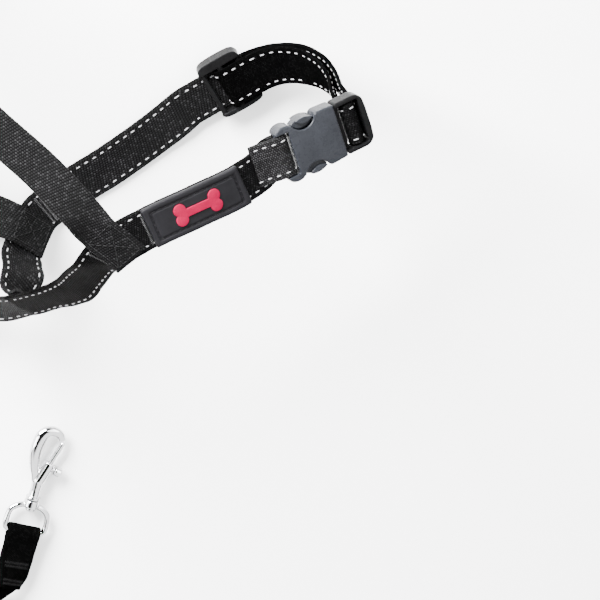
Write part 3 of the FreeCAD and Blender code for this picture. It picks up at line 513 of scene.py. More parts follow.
STITCH_INSET = 0.0026
NECK, CHEEK, LINK_WIDTH, LOOP = 0.020, 0.018, 0.015, 0.013
LAYER = 0.0016


def strap(name, ribbon, materials, ends=(None, None), span=None, phase=0.0, sides=(1, -1), row_span=None):
    """A finished length of neck webbing, with its two rows of reflective stitches."""
    bm = bmesh.new()
    add_webbing(bm, ribbon, NECK, LAYER, ends, span)
    for row, y in enumerate((NECK / 2 - STITCH_INSET, STITCH_INSET - NECK / 2)):
        add_dashes(bm, ribbon, y, LAYER, 1, row_span or span, phase=phase + row * 0.0019, sides=sides)
    return new_piece(name, bm, *materials)


def plain_strap(name, ribbon, width, material, ends=(None, None), span=None):
    """A finished length of webbing without stitches."""
    bm = bmesh.new()
    add_webbing(bm, ribbon, width, LAYER, ends, span)
    return new_piece(name, bm, material)


def add_box(bm, ribbon, low, high, half, h, crossed=True, **stitches):
    """A stitched box from low to high along a strap, with a cross in it where two straps are joined."""
    corners = [(low, -half), (high, -half), (high, half), (low, half)]
    for one, two in zip(corners, corners[1:] + corners[:1]):
        add_run(bm, ribbon, one, two, h, 1, **stitches)
    if crossed:
        for one, two in zip(corners, corners[2:]):
            add_run(bm, ribbon, one, two, h + 0.0001, 1)


# ------------------------------------------------------------------------------------ strap courses
RING_WIRE, RING_GAP, LOOP_THICK = 1.75, 0.3, 1.4
RINGS = {"near": ((2, 116, 83), 13.0), "far": ((-10, 100, 3.6), 13.0), "control": ((-44, 62, 3.6), 16.0)}
CHEEK_NEAR, NOSE_NEAR, CHIN_NEAR = 297, 35, 205
CHEEK_FAR, NOSE_FAR, CHIN_FAR = 301, 35, 219
CONTROL_FAR, CONTROL_NEAR, CONTROL_LINK, CONTROL_THROAT = 50, 130, 205, 280


def outward(angle):
    return (math.cos(math.radians(angle)), math.sin(math.radians(angle)), 0)


def inward(angle):
    return outward(angle + 180)


def ring_exit(ring, angle, extra=0.0):
    """Where a strap leaves its loop on a ring."""
    centre, radius = RINGS[ring]
    reach = radius + RING_WIRE + RING_GAP + LOOP_THICK + 0.05 + extra
    x, y, _ = outward(angle)
    return (centre[0] + reach * x, centre[1] + reach * y, centre[2])


def raised(point, rise):
    return (point[0], point[1], point[2] + rise)


def beside(row, along, across, up):
    """A point beside a strap's row, in mm along it, across it and off its face."""
    point, tangent, width, normal = row
    return plain(point + (tangent * along + width * across + normal * up) * MM)


BUCKLE = Local(at(126.1, 0.7, 93.5), (0.948, -0.153, -0.279), (0.275, -0.049, 0.96))
SLIDER = Local(at(122.4, 7.3, 5.4), (0.995, 0.06, 0.07), (-0.07, -0.06, 1))
SNAP = Local(at(-55.2, -138.9, 3.8), (0.67, 0.742, 0), (0, 0, 1))
FOLD_LEG = 2.7
# The adjusting loop hangs straight down from the bar of the buckle's male half.
HANG = math.radians(16.2)
FOLD = Local(BUCKLE.matrix @ Vector((37.2, 0, 0)), BUCKLE.x * math.cos(HANG) + BUCKLE.z * math.sin(HANG),
             BUCKLE.z * math.cos(HANG) - BUCKLE.x * math.sin(HANG))

near_rows = frames([
    (ring_exit("control", CONTROL_THROAT), (.98, .17, 0), outward(CONTROL_THROAT)),
    (ring_exit("control", CONTROL_THROAT, 8), (.98, .17, .02)),
    ((-42, 16, 3.4), (1, 0, .05)),
    ((-39, -4, 6.5), (.9, .4, .05)),
    ((-31, -18, 15), (.5, .85, .2)),
    ((-20, -24.5, 27), (.22, .76, .6)),
    ((-7, -25, 42), (.1, .68, .72)),
    ((4.5, -22.5, 55.5), (.06, .7, .7)),
    ((11.5, -21, 63.5), (-.12, .83, .52)),
    ((17.7, -18.3, 71.5), (-.33, .9, .28)),
    ((23.5, -12, 81.5), (-.42, .85, .33)),
    ((30.5, -4.5, 93.5), (-.45, .79, .4)),
    ((38.5, 1.8, 103.2), (-.25, .92, .1)),
    ((48, 6, 108.2), (0, .98, 0)),
    ((60, 6, 107.6), (.12, .98, 0)),
    ((84, 2.8, 103.2), (.17, .98, 0)),
    ((106, -.4, 97.4), (.17, .98, 0)),
    ((115.5, -.4, 94.5), (.16, .98, 0)),
    (BUCKLE(-2.4, 0, -FOLD_LEG), BUCKLE.y, BUCKLE.x),
])
THROAT, NEAR_JOINT, LABEL_MID = 6, 13, 15
throat_row = near_rows[THROAT]
far_rows = frames([
    (beside(throat_row, 7, 0, -3.0), throat_row[2]),
    (beside(throat_row, 0, 0, -2.6), throat_row[2]),
    (beside(throat_row, -4.5, .3, -6.5), throat_row[2]),
    ((1, -17, 29), (-.7, .7, 0)),
    ((3, -14.8, 19.5), (-.66, .75, 0)),
    ((6.5, -12.4, 13.7), (-.42, .9, .05), (.71, .34, -.61)),
    ((12.2, -9.7, 8.8), (-.4, .92, .05), (.71, .34, -.61)),
    ((18, -7.1, 4.0), (-.36, .93, .05), (.74, .3, -.6)),
    ((28, -5.0, 2.0), (-.13, .99, 0)),
    ((60, -2.0, 1.4), (-.14, .99, 0)),
    ((80, 1.0, 2.0), (-.16, .98, .02)),
    ((92, 3.5, 2.9), (-.16, .98, -.02)),
    (SLIDER(-20, 0, 0), SLIDER.y, SLIDER.x),
    (SLIDER(0, 0, 0), SLIDER.y),
    (SLIDER(10.5, 0, 0), SLIDER.y),
    ((144.5, 7, 9.4), (0, .99, .05)),
    ((155.5, 4.4, 17.5), (.02, .99, 0)),
    ((163, 1, 31.5), (.04, .99, 0)),
    ((165.2, -2.4, 46), (.08, .99, 0)),
    ((164, -5, 59), (.13, .99, 0)),
    (FOLD(3.0, 0, -9.75), BUCKLE.y, (0, 0, 1)),
])
FAR_JOINT, SLIDER_END = 6, 14
inner_rows = frames([
    (SLIDER(12.3, 0, 4.9), SLIDER.y, SLIDER.x),
    ((144, 7, 12.6), (0, .99, .05)),
    ((153.5, 4.4, 20), (.02, .99, 0)),
    ((160, 1, 33.2), (.04, .99, 0)),
    ((161.6, -2.4, 46), (.08, .99, 0)),
    ((159.6, -4.8, 58), (.13, .99, 0)),
    (FOLD(-3.0, 0, -6.15), BUCKLE.y, (0, 0, 1)),
])
PATCH = 2.1
near_joint = near_rows[NEAR_JOINT]
slanted = (near_joint[1] + near_joint[2] * .18) * -1
cheek_near_rows = frames([
    (beside(near_joint, -2.0, -8.8, PATCH), slanted),
    (beside(near_joint, -3.4, 0, PATCH), slanted),
    (beside(near_joint, -5.6, 10, PATCH), slanted),
    ((36.8, 29.5, 107.8), (-.88, -.3, .22)),
    ((31.2, 49.6, 101.5), (-.9, -.35, .2)),
    ((21.6, 74, 92.5), (-.9, -.4, .1)),
    (ring_exit("near", CHEEK_NEAR, 10), (-.88, -.45, 0)),
    (ring_exit("near", CHEEK_NEAR), (-.88, -.45, 0), inward(CHEEK_NEAR)),
])
far_joint = far_rows[FAR_JOINT]
far_slanted = (far_joint[1] + far_joint[2] * .15) * -1
cheek_far_rows = frames([
    (beside(far_joint, 0, -8.5, PATCH + 0.25), far_slanted),
    (beside(far_joint, -0.8, 0, PATCH + 0.2), far_slanted),
    (beside(far_joint, -2.0, 8.5, PATCH + 0.7), far_slanted),
    ((-2.5, 11.5, 6.2), (-.86, -.42, .1)),
    ((-6.5, 33, 2.6), (-.98, -.1, .05)),
    ((-5, 56, 1.4), (-.97, .1, 0)),
    (ring_exit("far", CHEEK_FAR, 9), (-.87, -.5, 0)),
    (ring_exit("far", CHEEK_FAR), (-.87, -.5, 0), inward(CHEEK_FAR)),
])
nose_rows = frames([
    (ring_exit("near", NOSE_NEAR), (-.574, .819, 0), outward(NOSE_NEAR)),
    (ring_exit("near", NOSE_NEAR, 8), (-.574, .819, 0)),
    ((34, 137, 76), (-.52, .85, 0)),
    ((42.5, 139, 61), (-.48, .87, 0)),
    ((45, 137, 43), (-.47, .88, 0)),
    ((42, 132, 25), (-.48, .87, 0)),
    ((33, 125, 10), (-.5, .86, 0)),
    ((20.5, 119, 2.6), (-.54, .84, 0)),
    (ring_exit("far", NOSE_FAR, 6), (-.574, .819, 0)),
    (ring_exit("far", NOSE_FAR), (-.574, .819, 0), inward(NOSE_FAR)),
])
chin_near_rows = frames([
    (ring_exit("near", CHIN_NEAR), (.423, -.906, 0), outward(CHIN_NEAR)),
    (ring_exit("near", CHIN_NEAR, 6), (.423, -.906, 0)),
    ((-32, 101, 73), (.25, -.95, 0)),
    ((-42, 98, 55), (.1, -.98, 0)),
    ((-51, 96, 36), (-.1, -.98, 0)),
    ((-60, 92, 19), (-.4, -.9, 0)),
    (raised(ring_exit("control", CONTROL_NEAR, 8), 2.0), (-.766, -.643, 0)),
    (ring_exit("control", CONTROL_NEAR), (-.766, -.643, 0), inward(CONTROL_NEAR)),
])
chin_far_rows = frames([
    (ring_exit("far", CHIN_FAR), (.643, -.766, 0), outward(CHIN_FAR)),
    (ring_exit("far", CHIN_FAR, 4), (.7, -.7, 0)),
    (ring_exit("control", CONTROL_FAR, 4), (.75, -.66, 0)),
    (ring_exit("control", CONTROL_FAR), (.766, -.643, 0), inward(CONTROL_FAR)),
])
EDGE = (0, 0, 1)
link_rows = frames([
    (ring_exit("control", CONTROL_LINK), (.423, -.906, 0), outward(CONTROL_LINK)),
    (ring_exit("control", CONTROL_LINK, 6), (.423, -.906, .05)),
    ((-78, 43.5, 6.3), (.35, -.7, .6)),
    ((-86, 32, 7.8), (.1, -.2, .97)),
    ((-92, 10, 8.1), EDGE),
    ((-96.4, -25, 8.1), EDGE),
    ((-99.6, -65, 8.1), EDGE),
    ((-101.6, -100, 8.1), EDGE),
    ((-101.8, -128, 8.1), EDGE),
    ((-98.8, -147, 8.1), EDGE),
    ((-91, -158.5, 8.2), (-.05, .05, 1)),
    ((-82, -161.5, 7.6), (-.3, .4, .86)),
    (SNAP(-21, 0.5, 2.4), (-.55, .66, .3)),
    (SNAP(-12, 0, 0), SNAP.y),
    (SNAP(-3.3, 0, 0), SNAP.y, SNAP.x),
])
LINK_MID = 7

# ------------------------------------------------------------------------------------ neck webbing
near_throat = Ribbon(near_rows[THROAT:NEAR_JOINT + 1])
near_front = Ribbon(near_rows[NEAR_JOINT:])
# The near strap's throat length is painted darker than the rest of it: painted shade.
dress(strap("neck_webbing_near_throat", near_throat, (BLACK_PAINTED_SHADE, REFLECTIVE)), "halter", "black_webbing",
      "neck_strap_near_throat")
dress(strap("neck_webbing_near", near_front, (BLACK, REFLECTIVE), phase=0.0012), "halter",
      "black_webbing", "neck_strap_near")
throat_ribbon = Ribbon(near_rows[:THROAT + 1])
dress(strap("throat_webbing", throat_ribbon, (COARSE, REFLECTIVE), ends=(LOOP, None),
            span=(0.004, throat_ribbon.length), row_span=(0.020, throat_ribbon.length)), "halter",
      "black_webbing", "throat_strap")
far_throat = Ribbon(far_rows[:FAR_JOINT + 2])
dress(strap("neck_webbing_far_throat", far_throat, (PLAIN, REFLECTIVE)), "halter", "black_webbing",
      "neck_strap_far_throat")
far_ground = Ribbon(far_rows[FAR_JOINT + 1:SLIDER_END + 1])
dress(strap("neck_webbing_far", far_ground, (PLAIN, REFLECTIVE), phase=0.001), "halter",
      "black_webbing", "neck_strap_far")

# The adjusting loop: two layers from the slider up to the buckle's male half, in the darker webbing that
# paints the shade on them.
outer = Ribbon(far_rows[SLIDER_END:])
outer_piece = strap("adjuster_webbing_outer", outer, (LINK_WEBBING_AND_LOOP_SHADE, REFLECTIVE), phase=0.002)
dress(outer_piece, None, "black_webbing", "adjuster_outer_layer")
inner = Ribbon(inner_rows)
INNER_SPLIT = 0.026
inner_low = strap("adjuster_webbing_inner_low", inner, (LINK_WEBBING_AND_LOOP_SHADE, REFLECTIVE), phase=0.0014,
                  span=(-0.0006, INNER_SPLIT))
dress(inner_low, None, "black_webbing")
inner_high = strap("adjuster_webbing_inner_high", inner, (LINK_WEBBING_AND_LOOP_SHADE, REFLECTIVE), phase=0.0014,
                   span=(INNER_SPLIT, inner.length))
dress(inner_high, None, "black_webbing", "adjuster_inner_layer")


def turned(centre, radius, first, last, local):
    """Rows of a strap bent round a bar along the local y axis, angles in degrees from local x to z."""
    rows = []
    count = 13
    for i in range(count):
        a = math.radians(first + (last - first) * i / (count - 1))
        forward = 1 if last > first else -1
        point = local.matrix @ Vector((centre[0] + radius * math.cos(a), 0, centre[1] + radius * math.sin(a)))
        tangent = (local.x * -math.sin(a) + local.z * math.cos(a)) * forward
        rows.append((point, tangent, local.y, tangent.cross(local.y)))
    return rows


def leg_row(local, x, z, direction):
    tangent = (local.x * direction[0] + local.z * direction[1]).normalized()
    return (local.matrix @ Vector((x, 0, z)), tangent, local.y, tangent.cross(local.y))


male_rows = ([leg_row(FOLD, 3.0, -9.8, (0, 1))] + turned((0.0, 0.0), 3.0, 0, 180, FOLD)
             + [leg_row(FOLD, -3.0, -6.2, (0, -1))])
male_fold = Ribbon(male_rows)
dress(strap("adjuster_webbing_buckle_turn", male_fold, (BLACK, REFLECTIVE), phase=0.0012, sides=(-1,)),
      "male_half", "black_webbing", "adjuster_buckle_fold")

female_rows = ([leg_row(BUCKLE, -2.6, -FOLD_LEG, (1, 0))] + turned((2.4, 0.0), FOLD_LEG, -90, 90, BUCKLE)
               + [leg_row(BUCKLE, -3.6, 1.6, (-1, -0.42)), leg_row(BUCKLE, -8.6, -0.45, (-1, -0.22)),
                  leg_row(BUCKLE, -12.6, -0.95, (-1, 0))])
female_fold = Ribbon(female_rows)
dress(strap("neck_webbing_buckle_turn", female_fold, (COARSE, REFLECTIVE, THREAD), phase=0.0016,
            sides=(-1,)), "halter", "black_webbing", "neck_strap_buckle_fold")

tail_rows = ([leg_row(SLIDER, 12.6, 4.9, (-1, 0))] + turned((-1.5, 3.25), 1.65, 90, 270, SLIDER)
             + [leg_row(SLIDER, 6.0, 1.6, (1, 0))])
tail = Ribbon(tail_rows)
bm = bmesh.new()
add_webbing(bm, tail, NECK, 0.0012)
for y in (NECK / 2 - STITCH_INSET, STITCH_INSET - NECK / 2):
    add_dashes(bm, tail, y, 0.0012, 1)
dress(new_piece("adjuster_webbing_slider_turn", bm, LINK_WEBBING_AND_LOOP_SHADE, REFLECTIVE), "slider_group", "black_webbing",
      "slider_strap_tail")

# -------------------------------------------------------------------------------------- ring folds
def ring_fold(name, ring, angle, ribbon, body, slot_name, node_name, material, at_end):
    """A strap's end passed round a ring and sewn back on itself: a short leg over, a merging leg under."""
    centre, radius = RINGS[ring]
    out = Vector(outward(angle))
    width_axis = up.cross(out)
    heart = at(*centre)
    near = math.sqrt(radius ** 2 - 6.5 ** 2) - 0.4
    lift = RING_WIRE + RING_GAP + LAYER / MM / 2

    def on_strap(s, h):
        s = ribbon.length - s if at_end else s
        point, _, _, normal = ribbon.row(s)
        flip = 1 if normal.dot(up) > 0 else -1
        return point + normal * (h * MM * flip)

    def on_ring(reach, height):
        return heart + (out * reach + up * height) * MM

    points = [on_strap(0.0135, 1.62), on_strap(0.010, 1.62), on_strap(0.006, 1.64), on_strap(0.0025, 2.0),
              on_ring(radius + 1.6, lift + 0.1)]
    points += [on_ring(near - lift * math.sin(a), lift * math.cos(a))
               for a in (math.pi * i / 6 for i in range(7))]
    points += [on_ring(radius + 1.2, -lift), on_strap(0.0015, -1.3), on_strap(0.0045, -0.25),
               on_strap(0.0065, 0.0)]
    fold = Ribbon(rows_through(points, [width_axis] * len(points)), 0.0009)
    bm = bmesh.new()
    add_webbing(bm, fold, LOOP, 0.0015)
    facing = 1 if fold.rows[0][3].dot(up) > 0 else -1
    for s in (0.0028, 0.0062):
        route = [(s + 0.0009 * (1 if i % 2 else -1), -0.0052 + 0.0104 * i / 24) for i in range(25)]
        add_thread(bm, fold, route, (0.00075 + 0.00008) * facing, 0.00018, 0.00016, 1, side=facing)
    dress(new_piece(name, bm, material, THREAD), body, slot_name, node_name)


cheek_near = Ribbon(cheek_near_rows)
cheek_far = Ribbon(cheek_far_rows)
nose = Ribbon(nose_rows)
chin_near = Ribbon(chin_near_rows)
chin_far = Ribbon(chin_far_rows)
link_ring = Ribbon(link_rows[:LINK_MID + 1])
link_snap = Ribbon(link_rows[LINK_MID:])

for name, key, angle, ribbon, node_name, at_end in (
        ("ring_fold_cheek_near", "near", CHEEK_NEAR, cheek_near, "cheek_loop_near", True),
        ("ring_fold_nose_near", "near", NOSE_NEAR, nose, "nose_loop_near", False),
        ("ring_fold_chin_near", "near", CHIN_NEAR, chin_near, "chin_loop_near", False),
        ("ring_fold_cheek_far", "far", CHEEK_FAR, cheek_far, "cheek_loop_far", True),
        ("ring_fold_nose_far", "far", NOSE_FAR, nose, "nose_loop_far", True),
        ("ring_fold_chin_far", "far", CHIN_FAR, chin_far, "chin_loop_far", False),
        ("ring_fold_lead_far", "control", CONTROL_FAR, chin_far, "control_loop_chin_far", True),
        ("ring_fold_lead_near", "control", CONTROL_NEAR, chin_near, "control_loop_chin_near", True)):
    ring_fold(name, key, angle, ribbon, "halter", "plain_webbing", node_name, PLAIN, at_end)
ring_fold("ring_fold_lead_throat", "control", CONTROL_THROAT, throat_ribbon, "halter", "black_webbing",
          "control_loop_throat", BLACK, False)
ring_fold("ring_fold_link", "control", CONTROL_LINK, link_ring, "safety_link", "black_webbing",
          "link_ring_loop", LINK_WEBBING_AND_LOOP_SHADE, False)

# --------------------------------------------------------------------- cheek, nose and chin webbing
TACK = LAYER / 2 + 0.0001
RING_CLEAR = 0.0045
for name, ribbon, low, high, node_name in (
        ("cheek_webbing_near", cheek_near, 0.0018, 0.0195, "cheek_strap_near"),
        ("cheek_webbing_far", cheek_far, 0.0015, 0.0175, "cheek_strap_far")):
    bm = bmesh.new()
    add_webbing(bm, ribbon, CHEEK, LAYER, (None, LOOP), (0.0, ribbon.length - RING_CLEAR))
    add_box(bm, ribbon, low, high, 0.0068, TACK)
    dress(new_piece(name, bm, PLAIN, THREAD), "halter", "plain_webbing", node_name)

# Bar tacks across the neck strap, either side of the near joint, and across the far one.
for name, ribbon, places, node_name in (
        ("tack_near_high", near_front, (0.0114, 0.0132, 0.0150), "bartack_near_joint_high"),
        ("tack_near_low", near_throat, (near_throat.length - 0.0135, near_throat.length - 0.0155),
         "bartack_near_joint_low"),
        ("tack_far", far_ground, (0.0045, 0.0065), "bartack_far_joint")):
    bm = bmesh.new()
    for s in places:
        route = [(s + 0.00055 * (1 if i % 2 else -1), -0.0078 + 0.0156 * i / 40) for i in range(41)]
        for side in (1, -1):
            add_thread(bm, ribbon, route, side * TACK, 0.00018, 0.00016, 0, side=side)
    dress(new_piece(name, bm, TACK_THREAD), "halter", "thread", node_name)

bm = bmesh.new()
add_webbing(bm, nose, NECK, LAYER, (LOOP, LOOP), (RING_CLEAR, nose.length - RING_CLEAR), taper=0.014)
for y in (-0.0068, 0.0068):
    add_run(bm, nose, (0.018, y), (nose.length - 0.018, y), TACK, 1)
dress(new_piece("noseband_outer_webbing", bm, PLAIN, THREAD), "halter", "plain_webbing", "noseband_webbing")
dress(plain_strap("chin_webbing_near", chin_near, LINK_WIDTH, PLAIN, (LOOP, LOOP),
                  (RING_CLEAR, chin_near.length - RING_CLEAR)), "halter", "plain_webbing", "chin_strap_near")
dress(plain_strap("chin_webbing_far", chin_far, LOOP, PLAIN, span=(0.0042, chin_far.length - 0.0042)),
      "halter", "plain_webbing", "chin_strap_far")

# ------------------------------------------------------------------------------------ noseband pad
PAD_WIDTH, PAD_THICK = 0.026, 0.005
pad_ribbon = Ribbon(nose_rows[1:8])
PAD_OFFSET = -(LAYER + PAD_THICK) / 2 - 0.0002


def pad_mesh():
    """The foam pad before it swells: full in the middle, thin at its bound edges."""
    bm = bmesh.new()
    rows, around = 90, 40
    rings = []
    for i in range(rows + 1):
        s = pad_ribbon.length * i / rows
        far = min(i, rows - i) / rows * pad_ribbon.length
        full = 0.55 + 0.45 * min(1.0, far / 0.006)
        ring = []
        for j in range(around):
            a = math.tau * j / around
            y = math.copysign(abs(math.cos(a)) ** 0.35, math.cos(a)) * PAD_WIDTH / 2 * (0.90 + 0.06 * full)
            h = math.copysign(abs(math.sin(a)) ** 0.8, math.sin(a)) * PAD_THICK / 2 * 0.74 * full
            ring.append(bm.verts.new(pad_ribbon.place(s, y, PAD_OFFSET + h)))
        rings.append(ring)
    closed(bm, rings)
    bmesh.ops.recalc_face_normals(bm, faces=bm.faces)
    return new_piece("noseband_pad_padding", bm, KNIT)


def remeshed(piece, voxel, smooth=0):
    """The piece rebuilt as one skin of even faces, and relaxed smooth times."""
    modifier = piece.modifiers.new("remesh", "REMESH")
    modifier.mode = "VOXEL"
    modifier.voxel_size = voxel
    modifier.use_smooth_shade = True
    if smooth:
        relax = piece.modifiers.new("relax", "SMOOTH")
        relax.iterations = smooth
        relax.factor = 0.5
    return applied(piece)


pad_piece = pad_mesh()
remeshed(pad_piece, 0.0014)
before = [v.co.copy() for v in pad_piece.data.vertices]
cloth = pad_piece.modifiers.new("cloth", "CLOTH")
cloth.settings.use_pressure = True
cloth.settings.uniform_pressure_force = 4.0
cloth.settings.quality = 5
cloth.settings.effector_weights.gravity = 0.0
cloth.collision_settings.use_collision = False
for step in range(1, 21):
    scene.frame_set(step)
applied(pad_piece)
scene.frame_set(1)
SWELL = 0.0006
for vertex, start in zip(pad_piece.data.vertices, before):
    moved = vertex.co - start
    if moved.length > SWELL:
        vertex.co = start + moved * (SWELL / moved.length)
sub = pad_piece.modifiers.new("fine", "SUBSURF")
sub.levels = 1
applied(pad_piece)
pad_piece.data.materials.clear()
pad_piece.data.materials.append(KNIT)
pad_piece.data.shade_smooth()
dress(pad_piece, "halter", "neoprene", "noseband_pad")

# Edge binding of the pad, and the two sewn channels along it.
bm = bmesh.new()
for y in (-1, 1):
    route = [(pad_ribbon.length * i / 110, y * (PAD_WIDTH / 2 - 0.0011)) for i in range(111)]
    add_thread(bm, pad_ribbon, route, PAD_OFFSET, 0.0010, 0.0013, 0)
for y in (-0.0075, 0.0075):
    add_run(bm, pad_ribbon, (0.004, y), (pad_ribbon.length - 0.004, y),
            PAD_OFFSET - PAD_THICK / 2 + 0.0002, 1)
dress(new_piece("noseband_pad_binding", bm, BLACK, THREAD), "halter", "neoprene")

# -------------------------------------------------------------------------------------------- label
label_ribbon = Ribbon(near_rows[LABEL_MID - 1:LABEL_MID + 2])
LABEL_HALF, LABEL_BASE, LABEL_TOP = 0.0098, 0.0010, 0.0032


def label_mesh():
    """A moulded rubber patch: bevelled sides, a raised border and a sunk panel inside a stitch line."""
    length = label_ribbon.length
    # Insets from the patch's edge and the height there.
    profile = [(0.0, LABEL_BASE), (0.0, LABEL_TOP - 0.00075), (0.00025, LABEL_TOP - 0.00022),
               (0.0008, LABEL_TOP), (0.0021, LABEL_TOP), (0.0024, LABEL_TOP - 0.00012),
               (0.0026, LABEL_TOP - 0.00035), (0.0031, LABEL_TOP - 0.0004), (0.0036, LABEL_TOP - 0.00035),
               (0.0038, LABEL_TOP - 0.0001), (0.0042, LABEL_TOP - 0.0001)]
    bm = bmesh.new()
    long_steps, cross_steps = 56, 22

    def ring_at(inset, height):
        route = []
        low, high = inset, length - inset
        half = LABEL_HALF - inset
        route += [(low + (high - low) * i / long_steps, -half) for i in range(long_steps)]
        route += [(high, -half + 2 * half * i / cross_steps) for i in range(cross_steps)]
        route += [(high - (high - low) * i / long_steps, half) for i in range(long_steps)]
        route += [(low, half - 2 * half * i / cross_steps) for i in range(cross_steps)]
        out = []
        corner = 0.0007
        for s, y in route:
            pull_s = max(0.0, corner - min(s - low, high - s))
            pull_y = max(0.0, corner - (half - abs(y)))
            if pull_s > 0 and pull_y > 0:
                k = 0.29
                s += k * pull_s * (1 if s < length / 2 else -1)
                y -= k * pull_y * (1 if y > 0 else -1)
            out.append(bm.verts.new(label_ribbon.place(s, y, height)))
        return out

    rings = [ring_at(*entry) for entry in profile]
    skin(bm, rings)
    inset, height = profile[-1]
    grid = {}
    low, high, half = inset, length - inset, LABEL_HALF - inset
    inner_ring = rings[-1]
    for i in range(long_steps + 1):
        for j in range(cross_steps + 1):
            if j == 0 and i < long_steps:
                vertex = inner_ring[i]
            elif i == long_steps and j < cross_steps:
                vertex = inner_ring[long_steps + j]
            elif j == cross_steps and i > 0:
                vertex = inner_ring[long_steps + cross_steps + (long_steps - i)]
            elif i == 0 and j > 0:
                vertex = inner_ring[2 * long_steps + cross_steps + (cross_steps - j)]
            else:
                y = -half + 2 * half * j / cross_steps
                vertex = bm.verts.new(label_ribbon.place(low + (high - low) * i / long_steps, y, height))
            grid[i, j] = vertex
    for i in range(long_steps):
        for j in range(cross_steps):
            bm.faces.new((grid[i, j], grid[i + 1, j], grid[i + 1, j + 1], grid[i, j + 1]))
    bottom = bm.faces.new(tuple(reversed(rings[0])))
    bmesh.ops.triangulate(bm, faces=[bottom])
    stitch = 0.0031
    add_box(bm, label_ribbon, stitch, length - stitch, LABEL_HALF - stitch, LABEL_TOP - 0.0003,
            crossed=False, pitch=0.0029, length=0.0022, half_wide=0.00027)
    bmesh.ops.recalc_face_normals(bm, faces=bm.faces)
    return new_piece("label_patch", bm, RUBBER, DARK_THREAD)


dress(label_mesh(), "halter", "label_rubber", "label")


def bone_outline(grow):
    """A plain bone shape, as (s, y) points round its middle."""
    count = 18
    half, knob_out, knob, bar = 0.0085, 0.0024, 0.0029, 0.0019
    points = []
    knob_r = knob + grow
    bar_y = bar + grow
    for side, up_sign in ((1, 1), (1, -1), (-1, -1), (-1, 1)):
        centre = (side * half, up_sign * knob_out)
        bar_dx = math.sqrt(max(knob_r ** 2 - (knob_out - bar_y) ** 2, 0))
        start = math.atan2(up_sign * (bar_y - knob_out), -side * bar_dx)
        mid_dx = math.sqrt(max(knob_r ** 2 - knob_out ** 2, 0))
        end = math.atan2(-up_sign * knob_out, side * mid_dx)
        # Go round the outside of each knob, clockwise as a whole.
        first, second = (start, end) if side * up_sign > 0 else (end, start)
        while second > first:
            second -= math.tau
        for i in range(count):
            a = first + (second - first) * i / (count - 1)
            points.append((centre[0] + knob_r * math.cos(a), centre[1] + knob_r * math.sin(a)))
    return points


def motif_mesh():
    bm = bmesh.new()
    middle = label_ribbon.length / 2
    steps = [(0.0, -0.0004), (0.0, 0.00042), (-0.00009, 0.00056), (-0.00028, 0.00062)]
    rings = []
    for grow, rise in steps:
        rings.append([bm.verts.new(label_ribbon.place(middle + s, y, LABEL_TOP - 0.0001 + rise))
                      for s, y in bone_outline(grow)])
    skin(bm, rings)
    top = bm.faces.new(tuple(rings[-1]))
    base = bm.faces.new(tuple(reversed(rings[0])))
    bmesh.ops.triangulate(bm, faces=[top, base])
    bmesh.ops.remove_doubles(bm, verts=bm.verts, dist=1e-6)
    bmesh.ops.recalc_face_normals(bm, faces=bm.faces)
    return new_piece("label_bone_motif", bm, RED, angle=40)


dress(motif_mesh(), "halter", "motif_rubber", "label_motif")


# ------------------------------------------------------------------------------------ moulded parts
def plate(points, z0, z1, bevel=0.0, segments=3):
    """A flat plate with the given outline in mm, its rims rounded."""
    bm = bmesh.new()
    lower = [bm.verts.new((x, y, z0)) for x, y in points]
    face = bm.faces.new(lower)
    made = bmesh.ops.extrude_face_region(bm, geom=[face])
    for item in made["geom"]:
        if isinstance(item, bmesh.types.BMVert):
            item.co.z = z1
    bmesh.ops.recalc_face_normals(bm, faces=bm.faces)
    if bevel:
        rims = [e for e in bm.edges if abs(e.verts[0].co.z - e.verts[1].co.z) < 1e-6]
        bmesh.ops.bevel(bm, geom=rims, offset=bevel, segments=segments, profile=0.5, affect="EDGES",
                        clamp_overlap=True)
    return bm


def block(x0, x1, y0, y1, z0, z1, bevel=0.0):
    """A block in mm with every edge rounded."""
    bm = bmesh.new()
    bmesh.ops.create_cube(bm, size=1)
    for v in bm.verts:
        v.co = Vector(((x0 + x1) / 2 + v.co.x * (x1 - x0), (y0 + y1) / 2 + v.co.y * (y1 - y0),
                       (z0 + z1) / 2 + v.co.z * (z1 - z0)))
    if bevel:
        bmesh.ops.bevel(bm, geom=bm.edges[:], offset=bevel, segments=3, profile=0.5, affect="EDGES",
                        clamp_overlap=True)
    return bm


def tube(points, radii, around, flat=1.0):
    """A round bar through points in mm with a radius at each; flat thins it along z."""
    bm = bmesh.new()
    rings = []
    last = len(points) - 1
    for i, (point, radius) in enumerate(zip(points, radii)):
        point = Vector(point)
        tangent = (Vector(points[min(i + 1, last)]) - Vector(points[max(i - 1, 0)])).normalized()
        normal = (up - tangent * up.dot(tangent)).normalized()
        across = tangent.cross(normal)
        rings.append([bm.verts.new(point + across * (radius * math.cos(a))
                                   + normal * (radius * flat * math.sin(a)))
                      for a in (math.tau * k / around for k in range(around))])
    closed(bm, rings)
    bmesh.ops.recalc_face_normals(bm, faces=bm.faces)
    return bm


def smooth_line(points, steps=10):
    """Points along a curve through the given ones."""
    points = [Vector(p) for p in points]
    out = []
    for i in range(len(points) - 1):
        before = points[max(i - 1, 0)]
        one, two = points[i], points[i + 1]
        after = points[min(i + 2, len(points) - 1)]
        for k in range(steps):
            t = k / steps
            out.append(hermite(one, (two - before) * 0.5, two, (after - one) * 0.5, t))
    out.append(points[-1])
    return out


